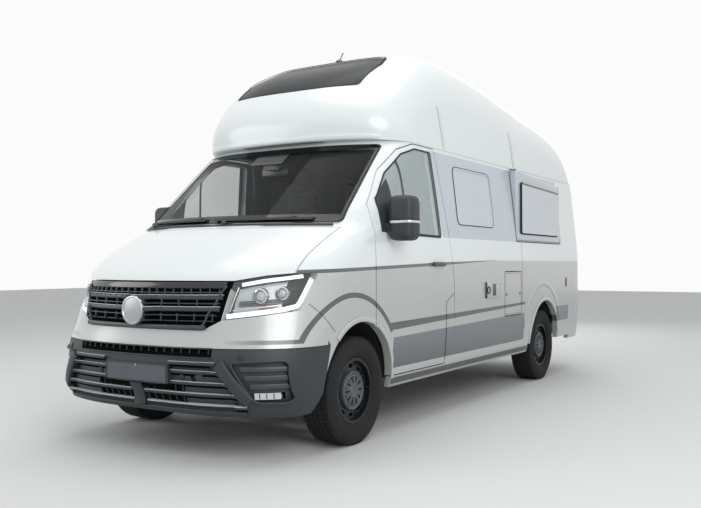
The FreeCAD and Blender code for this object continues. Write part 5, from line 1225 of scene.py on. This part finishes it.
class CAMPER_OT_tail(bpy.types.Operator):
    """Rear lamps, hinges, handle, bumper and roof fittings"""

    bl_idname = "camper.tail"
    bl_label = "Tail and roof"

    def execute(self, context):
        lamp = lambda face: 1 if 0.955 < face.center.z < 1.01 else 2 if 1.01 < face.center.z < 1.065 else 0
        skin("tail_lamps", ["red_pmma", "clear_pmma", "amber_pmma"], lamp)
        skin("rear_bumper", "silver_body_paint")
        skin("antenna", "gloss_abs")
        self.doors()
        self.roof()
        return {"FINISHED"}

    def doors(self):
        """Bumper bars, three hinges and a swage a door, the handle, and the blank plate in its frame."""
        for sign, side in LEFT_RIGHT:
            door = "rear_door_" + side
            strip("rear_swage_" + side, door, PAINT, 0.020, 0.004, on_rear,
                  box(sign * 0.06, 0.70, sign * 0.80, 1.36), radius=0.05, step=0.08)
            bars("rear_hinges_" + side, door, "zinc_steel", 0.050, 0.008, [
                [on_rear(sign * x, z) for x in (0.770, 0.860)] for z in (0.80, 1.30, 1.94)])
        for name, node, finish, width, rise, run, radius, step in (
                ("rear_step", "rear_bumper", "moulded_pp", 0.060, 0.006, sweep(14, 0.470), 0, 0.05),
                ("rear_bumper_edge", "rear_bumper", "moulded_pp", 0.018, 0.004, sweep(18, 0.552), 0, 0.05),
                ("rear_handle", "rear_door_left", "gloss_abs", 0.050, 0.022,
                 [(0.045, 1.175), (0.205, 1.175)], 0, 0.05),
                ("rear_strip", "rear_door_right", "moulded_pp", 0.030, 0.018,
                 [(-0.640, 1.130), (-0.120, 1.130)], 0, 0.05),
                ("rear_plate_frame", "rear_door_right", "moulded_pp", 0.010, 0.008,
                 box(-0.645, 0.980, -0.115, 1.100), 0.01, 0.1),
                ("door_joint", "rear_door_left", "epdm_rubber", 0.010, 0.003,
                 [(0.012, 0.62), (0.012, 2.06)], 0, 0.1),
                ("brake_light", "tail_lamps", "red_pmma", 0.024, 0.010,
                 [(-0.14, 2.165), (0.14, 2.165)], 0, 0.05)):
            strip(name, node, finish, width, rise, on_rear, run, radius=radius, step=step)
        board = brick("board", (0.52, 0.112, 0.006), 0.002, (0, 0, 0), "pressed_plate")
        lay("rear_plate", "rear_door_right", [placed(board, on_rear(-0.38, 1.040))])

    def roof(self):
        """Hatch frame and beads, mushroom vent and aerial foot."""
        hatch = box(-0.285, 4.265, 0.285, 4.835)
        inner = [(x * 0.72, 4.55 + (s - 4.55) * 0.72) for x, s in hatch]
        for name, node, finish, width, rise, outline, radius in (
                ("hatch_bead", "roof_hatch", "grey_pa", 0.020, 0.006, hatch, 0.04),
                ("hatch_step", "roof_hatch", "wet_room_abs", 0.030, 0.008, inner, 0.05),
                ("hatch_frame", "high_roof", "grey_pa", 0.030, 0.008,
                 box(-0.335, 4.215, 0.335, 4.885), 0.05)):
            strip(name, node, finish, width, rise, on_roof, outline, radius=radius, step=0.08)
        vent = turned("vent", [(0, 0.0), (0.050, 0.0), (0.055, 0.010), (0.055, 0.024), (0.048, 0.034),
                               (0, 0.040)], "wet_room_abs", 40)
        lay("roof_vent", "high_roof", [placed(vent, on_roof(0.42, 3.55))])
        foot = turned("foot", [(0, 0), (0.034, 0), (0.032, 0.010), (0.018, 0.022), (0, 0.028)],
                      "gloss_abs", 36)
        lay("aerial_foot", "antenna", [placed(foot, on_roof(0.0, 2.325))])


# Inside

def cushion(name, size, edge, voxel, swell, finish):
    """A padded body whose cover is blown up by cloth simulation, its base centre at the origin."""
    pad = moved(brick(name, [v - swell for v in size], edge, (0, 0, 0), finish, 3), (0, 0, swell / 2))
    bpy.context.scene.collection.objects.link(pad)
    cover = pad.modifiers.new("cover", "REMESH")
    cover.mode, cover.voxel_size, cover.use_smooth_shade = "VOXEL", voxel, True
    bake(pad)
    start = [vertex.co.copy() for vertex in pad.data.vertices]
    blown = pad.modifiers.new("blown", "CLOTH")
    blown.settings.use_pressure = True
    blown.settings.uniform_pressure_force = 4.0
    blown.settings.effector_weights.gravity = 0.0
    for frame_number in range(1, 21):
        bpy.context.scene.frame_set(frame_number)
    bake(pad)
    bpy.context.scene.frame_set(1)
    for vertex, before in zip(pad.data.vertices, start):
        step = vertex.co - before
        if step.length > swell:
            vertex.co = before + step.normalized() * swell
    finer = pad.modifiers.new("finer", "SUBSURF")
    finer.levels = finer.render_levels = 1
    bake(pad)
    bpy.context.scene.collection.objects.unlink(pad)
    return pad


def bake(piece):
    """Applies a piece's modifiers to its mesh."""
    mesh = applied(piece)
    piece.modifiers.clear()
    piece.data = mesh


class CAMPER_OT_seats(bpy.types.Operator):
    """Seats, bench and mattress as sewn cushions blown up by cloth simulation"""

    bl_idname = "camper.seats"
    bl_label = "Seats and mattress"

    RAKE = math.radians(14)

    def execute(self, context):
        context.scene.frame_start, context.scene.frame_end = 1, 20
        single = self.pads("seat", 0.50)
        for name, centre, station in (("driver", 0.455, 1.75), ("passenger", -0.455, 1.75)):
            self.seat(name, centre, station, 0.25, single)
        double = self.pads("double", 0.90)
        self.seat("bench", 0.39, 2.56, 0.45, double)
        for piece in single + double:
            bpy.data.objects.remove(piece)
        for sign, side in LEFT_RIGHT:
            pad = cushion("mattress_" + side, (0.868, 1.752, 0.118), 0.020, 0.024, 0.018, "mattress_ticking")
            fix(moved(pad, (sign * 0.436, at(4.90), 1.2415)), "mattress")
            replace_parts(pad, "mattress")
            self.piping("mattress_piping_" + side, "mattress", "mattress_ticking", [
                (sign * 0.436, at(4.90), z, box(-0.43, -0.872, 0.43, 0.872)) for z in (1.262, 1.340)])
        return {"FINISHED"}

    @staticmethod
    def pads(name, width):
        """Seat cushion, backrest and headrest of one width."""
        return [cushion(name + "_cushion", (width, 0.50, 0.15), 0.030, 0.013, 0.022, "seat_cloth"),
                cushion(name + "_back", (width, 0.13, 0.65), 0.030, 0.013, 0.020, "seat_cloth"),
                cushion(name + "_headrest", (0.28, 0.09, 0.18), 0.025, 0.009, 0.012, "seat_cloth")]

    def piping(self, name, node, finish, outlines):
        """Sewn cord round a cushion's edges, at given places."""
        rails = []
        for x_place, y_place, z, corners in outlines:
            outline = [Vector((x_place + x, y_place + y, z)) for x, y in corners]
            middle = sum(outline, Vector()) / len(outline)
            points = [Vector((x, y, z)) for x, y in rounded([p[:2] for p in outline], 0.035)]
            rails.append([(point, (point - middle).normalized()) for point in points])
        bars(name, node, finish, 0.007, 0.007, rails, True)

    def seat(self, name, centre, station, half, pads):
        """A pedestal with its shell, the cushions on it, and the headrest's stems."""
        rake = Matrix.Translation((centre, at(station + 0.50), 0.965)) @ Matrix.Rotation(-self.RAKE, 4, "X")
        places = [Matrix.Translation((centre, at(station + 0.25), 0.890)), rake,
                  rake @ Matrix.Translation((0, 0, 0.70))]
        for pad, place in zip(pads, places):
            made = bpy.data.objects.new(name + pad.name[pad.name.index("_"):], pad.data.copy())
            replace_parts(fix(moved(made, place), "seats"), "seats")
        width = half * 2
        pieces = [
            brick("base", (width - 0.10, 0.435, 0.27), 0.015, (centre, at(station + 0.2825), 0.59),
                  "dash_skin"),
            brick("tray", (width - 0.03, 0.47, 0.036), 0.012, (centre, at(station + 0.25), 0.856),
                  "dash_skin")]
        for shift in (-0.07, 0.07):
            stem = turned("stem", [(0, 0.60), (0.007, 0.60), (0.007, 0.72), (0, 0.72)], "zinc_steel", 16)
            pieces.append(moved(stem, rake @ Matrix.Translation((shift, 0, 0))))
        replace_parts(lay(name + "_stand", "seats", pieces), "seats")
        self.piping(name + "_piping", "seats", "grey_lining", [
            (centre, at(station + 0.25), 1.022, box(-half + 0.008, -0.242, half - 0.008, 0.18))])


class CAMPER_OT_cabin(bpy.types.Operator):
    """Dashboard fittings, steering wheel, furniture fronts and worktop"""

    bl_idname = "camper.cabin"
    bl_label = "Cabin"

    def execute(self, context):
        skin("dashboard", "dash_skin")
        skin("steering_wheel", "wheel_leather")
        skin("furniture", ["oak_laminate", "slate_melamine", "slate_board"], self.board)
        self.dash()
        self.kitchen()
        return {"FINISHED"}

    @staticmethod
    def board(face):
        """Worktop on the kitchen, moulded panels on the wet room, laminate elsewhere."""
        centre = face.center
        if centre.x < -0.39 and centre.y < at(3.87) and centre.z > 1.485:
            return 1
        return 2 if centre.x > 0.28 and centre.y < at(3.99) else 0

    def dash(self):
        """Air vents, blank screen, glove box line and instrument hood."""
        place = lambda x, z: spot(("dashboard",), (x, at(2.6), z), (0, -1, 0))
        vents = (-0.78, -0.14, 0.14, 0.78)
        for name, finish, width, rise, lines, radius, step in (
                ("vent_frames", "anodised_aluminium", 0.006, 0.006,
                 [box(x - 0.055, 1.190, x + 0.055, 1.255) for x in vents], 0.015, 0.03),
                ("vent_slats", "moulded_pp", 0.006, 0.008,
                 [[(x - 0.048, z), (x + 0.048, z)] for x in vents for z in (1.205, 1.222, 1.239)], 0, 0.05),
                ("glove_box", "epdm_rubber", 0.004, 0.001, [box(-0.70, 1.00, -0.24, 1.15)], 0.02, 0.06)):
            strip(name, "dashboard", finish, width, rise, place, *lines, radius=radius, step=step)
        screen = brick("screen", (0.23, 0.125, 0.012), 0.005, (0, 0, 0), "gloss_abs")
        lay("dash_fittings", "dashboard", [
            placed(screen, place(0.0, 1.115)),
            brick("hood", (0.36, 0.16, 0.050), 0.022, (0.42, at(1.50), 1.285), "dash_skin")])

    def kitchen(self):
        """Door and drawer fronts with handles, the worktop's edge, a hob and a sink."""
        columns, out = (3.125, 3.420, 3.715), Vector((1, 0, 0))
        lay("kitchen_fronts", "furniture", [
            placed(brick("front", (0.278, high - low, 0.014), 0.003, (0, 0, 0), "oak_laminate"),
                   (Vector((-0.400, at(y), (low + high) / 2)), out))
            for y in columns for low, high in ((0.66, 1.18), (1.20, 1.46))])
        rail = lambda x, z, *ends: [(Vector((x, at(y), z)), out) for y in ends]
        bars("kitchen_handles", "furniture", "brushed_stainless", 0.010, 0.012, [
            rail(-0.386, z, y - 0.06, y + 0.06) for y in columns for z in (1.12, 1.40)])
        bars("worktop_edge", "furniture", "slate_melamine", 0.030, 0.020, [rail(-0.400, 1.484, 2.985, 3.855)])
        sink = turned("sink", [(0.150, 0), (0.165, 0), (0.165, 0.006), (0.155, 0.009), (0.140, 0.004),
                               (0, 0.002), (0, 0.001), (0.150, 0)], "brushed_stainless", 48)
        lay("worktop_fittings", "furniture", [
            brick("hob", (0.40, 0.34, 0.010), 0.004, (-0.63, at(3.25), 1.5005), "gloss_abs"),
            moved(sink, (-0.63, at(3.62), 1.5005))])


# Underneath and the rest

class CAMPER_OT_underside(bpy.types.Operator):
    """Bolts and straps below the floor"""

    bl_idname = "camper.underside"
    bl_label = "Underside"

    def execute(self, context):
        below = lambda node: lambda x, s: spot((node,), (x, at(s), -1), (0, 0, 1))
        # The bolts are carried by the rear axle's body.
        bolt = stud("bolt", "zinc_steel", 0.009, 0.008, 0.1, 6)
        row("rail_bolts", "rear_axle", "zinc_steel", bolt, 0.26, below("chassis_rails"),
            *pairs([(0.42, 1.3), (0.42, 3.9)]), step=0.5)
        strip("tank_straps", "underfloor_tanks", "dip_coat", 0.040, 0.004, below("underfloor_tanks"),
              *[[(x, 2.54), (x, 3.16)] for x in (-0.30, 0.60)], step=0.1)
        return {"FINISHED"}


class CAMPER_OT_rest(bpy.types.Operator):
    """Gives the remaining nodes their materials"""

    bl_idname = "camper.rest"
    bl_label = "Remaining nodes"

    FINISH = {
        "lamp_polycarbonate": ["headlamps"],
        "dip_coat": ["lock_carrier", "bulkhead", "chassis_rails"],
        "stone_chip_coat": ["floor_pan"],
        "black_polythene": ["wheelhouse_liners", "underfloor_tanks"],
        "sand_cast_iron": ["front_suspension", "rear_axle", "engine_block", "knuckle_left", "knuckle_right"],
        "heat_tinted_steel": ["exhaust"],
    }

    def execute(self, context):
        for finish, nodes in self.FINISH.items():
            for node in nodes:
                skin(node, finish)
        return {"FINISHED"}


class CAMPER_OT_stage(bpy.types.Operator):
    """Makes the studio floor, lamps, world and camera"""

    bl_idname = "camper.stage"
    bl_label = "Stage"

    LAMPS = (("overhead", (0.5, -0.5, 7.5), (0, 0, 0), 7.0, 185),
             ("key", (6.5, -5.5, 4.2), (0.3, -0.5, 1.2), 5.0, 235),
             ("fill", (-6.0, -6.5, 3.5), (0, -1.5, 1.0), 5.0, 135),
             ("rear_fill", (-3.0, 8.0, 4.0), (0, 1.5, 1.4), 5.0, 120))

    def execute(self, context):
        scene = context.scene
        tree, shader = new_finish("studio_floor", "#d9dad9", 0.80)
        grain(tree, shader, 30.0, 0.2)
        half = scene.camper_sizes.floor / 2
        floor = mesh_object("studio_floor", [(x, y, 0) for x, y in box(-half, -half, half, half)],
                            [(0, 1, 2, 3)], "studio_floor")
        scene.collection.objects.link(floor)
        for name, place, aim, size, power in self.LAMPS:
            lamp = bpy.data.lights.new(name, "AREA")
            lamp.shape, lamp.size, lamp.energy = "DISK", size, power
            stand = bpy.data.objects.new(name, lamp)
            stand.location = place
            stand.rotation_euler = (Vector(aim) - Vector(place)).to_track_quat("-Z", "Y").to_euler()
            scene.collection.objects.link(stand)
        self.world(scene)
        self.camera(scene)
        scene.view_settings.view_transform = "Standard"
        return {"FINISHED"}

    def world(self, scene):
        """Even studio light; the background is white to the camera, glass and gloss."""
        scene.world = bpy.data.worlds.new("studio")
        scene.world.use_nodes = True
        tree = scene.world.node_tree
        tree.nodes.clear()
        rays = add(tree, "ShaderNodeLightPath").outputs
        seen = calc(tree, "MAXIMUM", rays["Is Camera Ray"], rays["Is Glossy Ray"],
                    rays["Is Transmission Ray"])
        shown = add(tree, "ShaderNodeBackground", {"Color": (1, 1, 1, 1), "Strength": 0.97})
        light = add(tree, "ShaderNodeBackground", {"Color": linear("#f2f4f6"), "Strength": 0.62})
        mixed = add(tree, "ShaderNodeMixShader", {0: seen, 1: light.outputs[0], 2: shown.outputs[0]})
        add(tree, "ShaderNodeOutputWorld", {"Surface": mixed.outputs[0]})

    def camera(self, scene):
        """The photograph's viewpoint, worked out from the wheels and from pairs of like points."""
        yaw, pitch, roll = math.radians(31.97), math.radians(-0.71), math.radians(-0.09)
        back = Vector((math.sin(yaw) * math.cos(pitch), -math.cos(yaw) * math.cos(pitch), math.sin(pitch)))
        right = Vector((math.cos(yaw), math.sin(yaw), 0))
        lens = bpy.data.cameras.new("studio_camera")
        lens.sensor_width, lens.lens = 36.0, 42.38
        lens.clip_start, lens.clip_end = 0.1, 200.0
        view = bpy.data.objects.new("studio_camera", lens)
        turn = Matrix((right, back.cross(right), back)).transposed().to_4x4()
        view.matrix_world = Matrix.Translation((3.818, -6.608, 1.184)) @ turn @ Matrix.Rotation(roll, 4, "Z")
        scene.collection.objects.link(view)
        scene.camera = view


# The add-on

class CAMPER_PT_panel(bpy.types.Panel):
    """Lists the steps in the sidebar"""

    bl_label = "Camper van"
    bl_space_type = "VIEW_3D"
    bl_region_type = "UI"
    bl_category = "Camper"

    def draw(self, context):
        for step in STEPS:
            self.layout.operator(step.bl_idname)
        for group in (context.scene.camper_paint, context.scene.camper_sizes):
            for name in group.__annotations__:
                self.layout.prop(group, name)


STEPS = [CAMPER_OT_body_skins, CAMPER_OT_front, CAMPER_OT_screen, CAMPER_OT_glazing, CAMPER_OT_sides,
         CAMPER_OT_wheels, CAMPER_OT_tail, CAMPER_OT_seats, CAMPER_OT_cabin, CAMPER_OT_underside,
         CAMPER_OT_rest, CAMPER_OT_stage]
CLASSES = [CamperPaint, CamperSizes] + STEPS + [CAMPER_PT_panel]


def register():
    for kind in CLASSES:
        bpy.utils.register_class(kind)
    bpy.types.Scene.camper_paint = bpy.props.PointerProperty(type=CamperPaint)
    bpy.types.Scene.camper_sizes = bpy.props.PointerProperty(type=CamperSizes)


def unregister():
    del bpy.types.Scene.camper_sizes, bpy.types.Scene.camper_paint
    for kind in reversed(CLASSES):
        bpy.utils.unregister_class(kind)


def main():
    """Registers the add-on, builds the materials and node trees, and runs its steps in order."""
    register()
    make_finishes()
    make_body_paint(bpy.context.scene.camper_paint)
    make_plain_paints(bpy.context.scene.camper_paint)
    make_glass()
    make_weaves()
    make_trim_tree()
    make_row_tree()
    make_ring_tree()
    for step in STEPS:
        group, name = step.bl_idname.split(".")
        getattr(getattr(bpy.ops, group), name)()


if __name__ == "__main__":
    main()
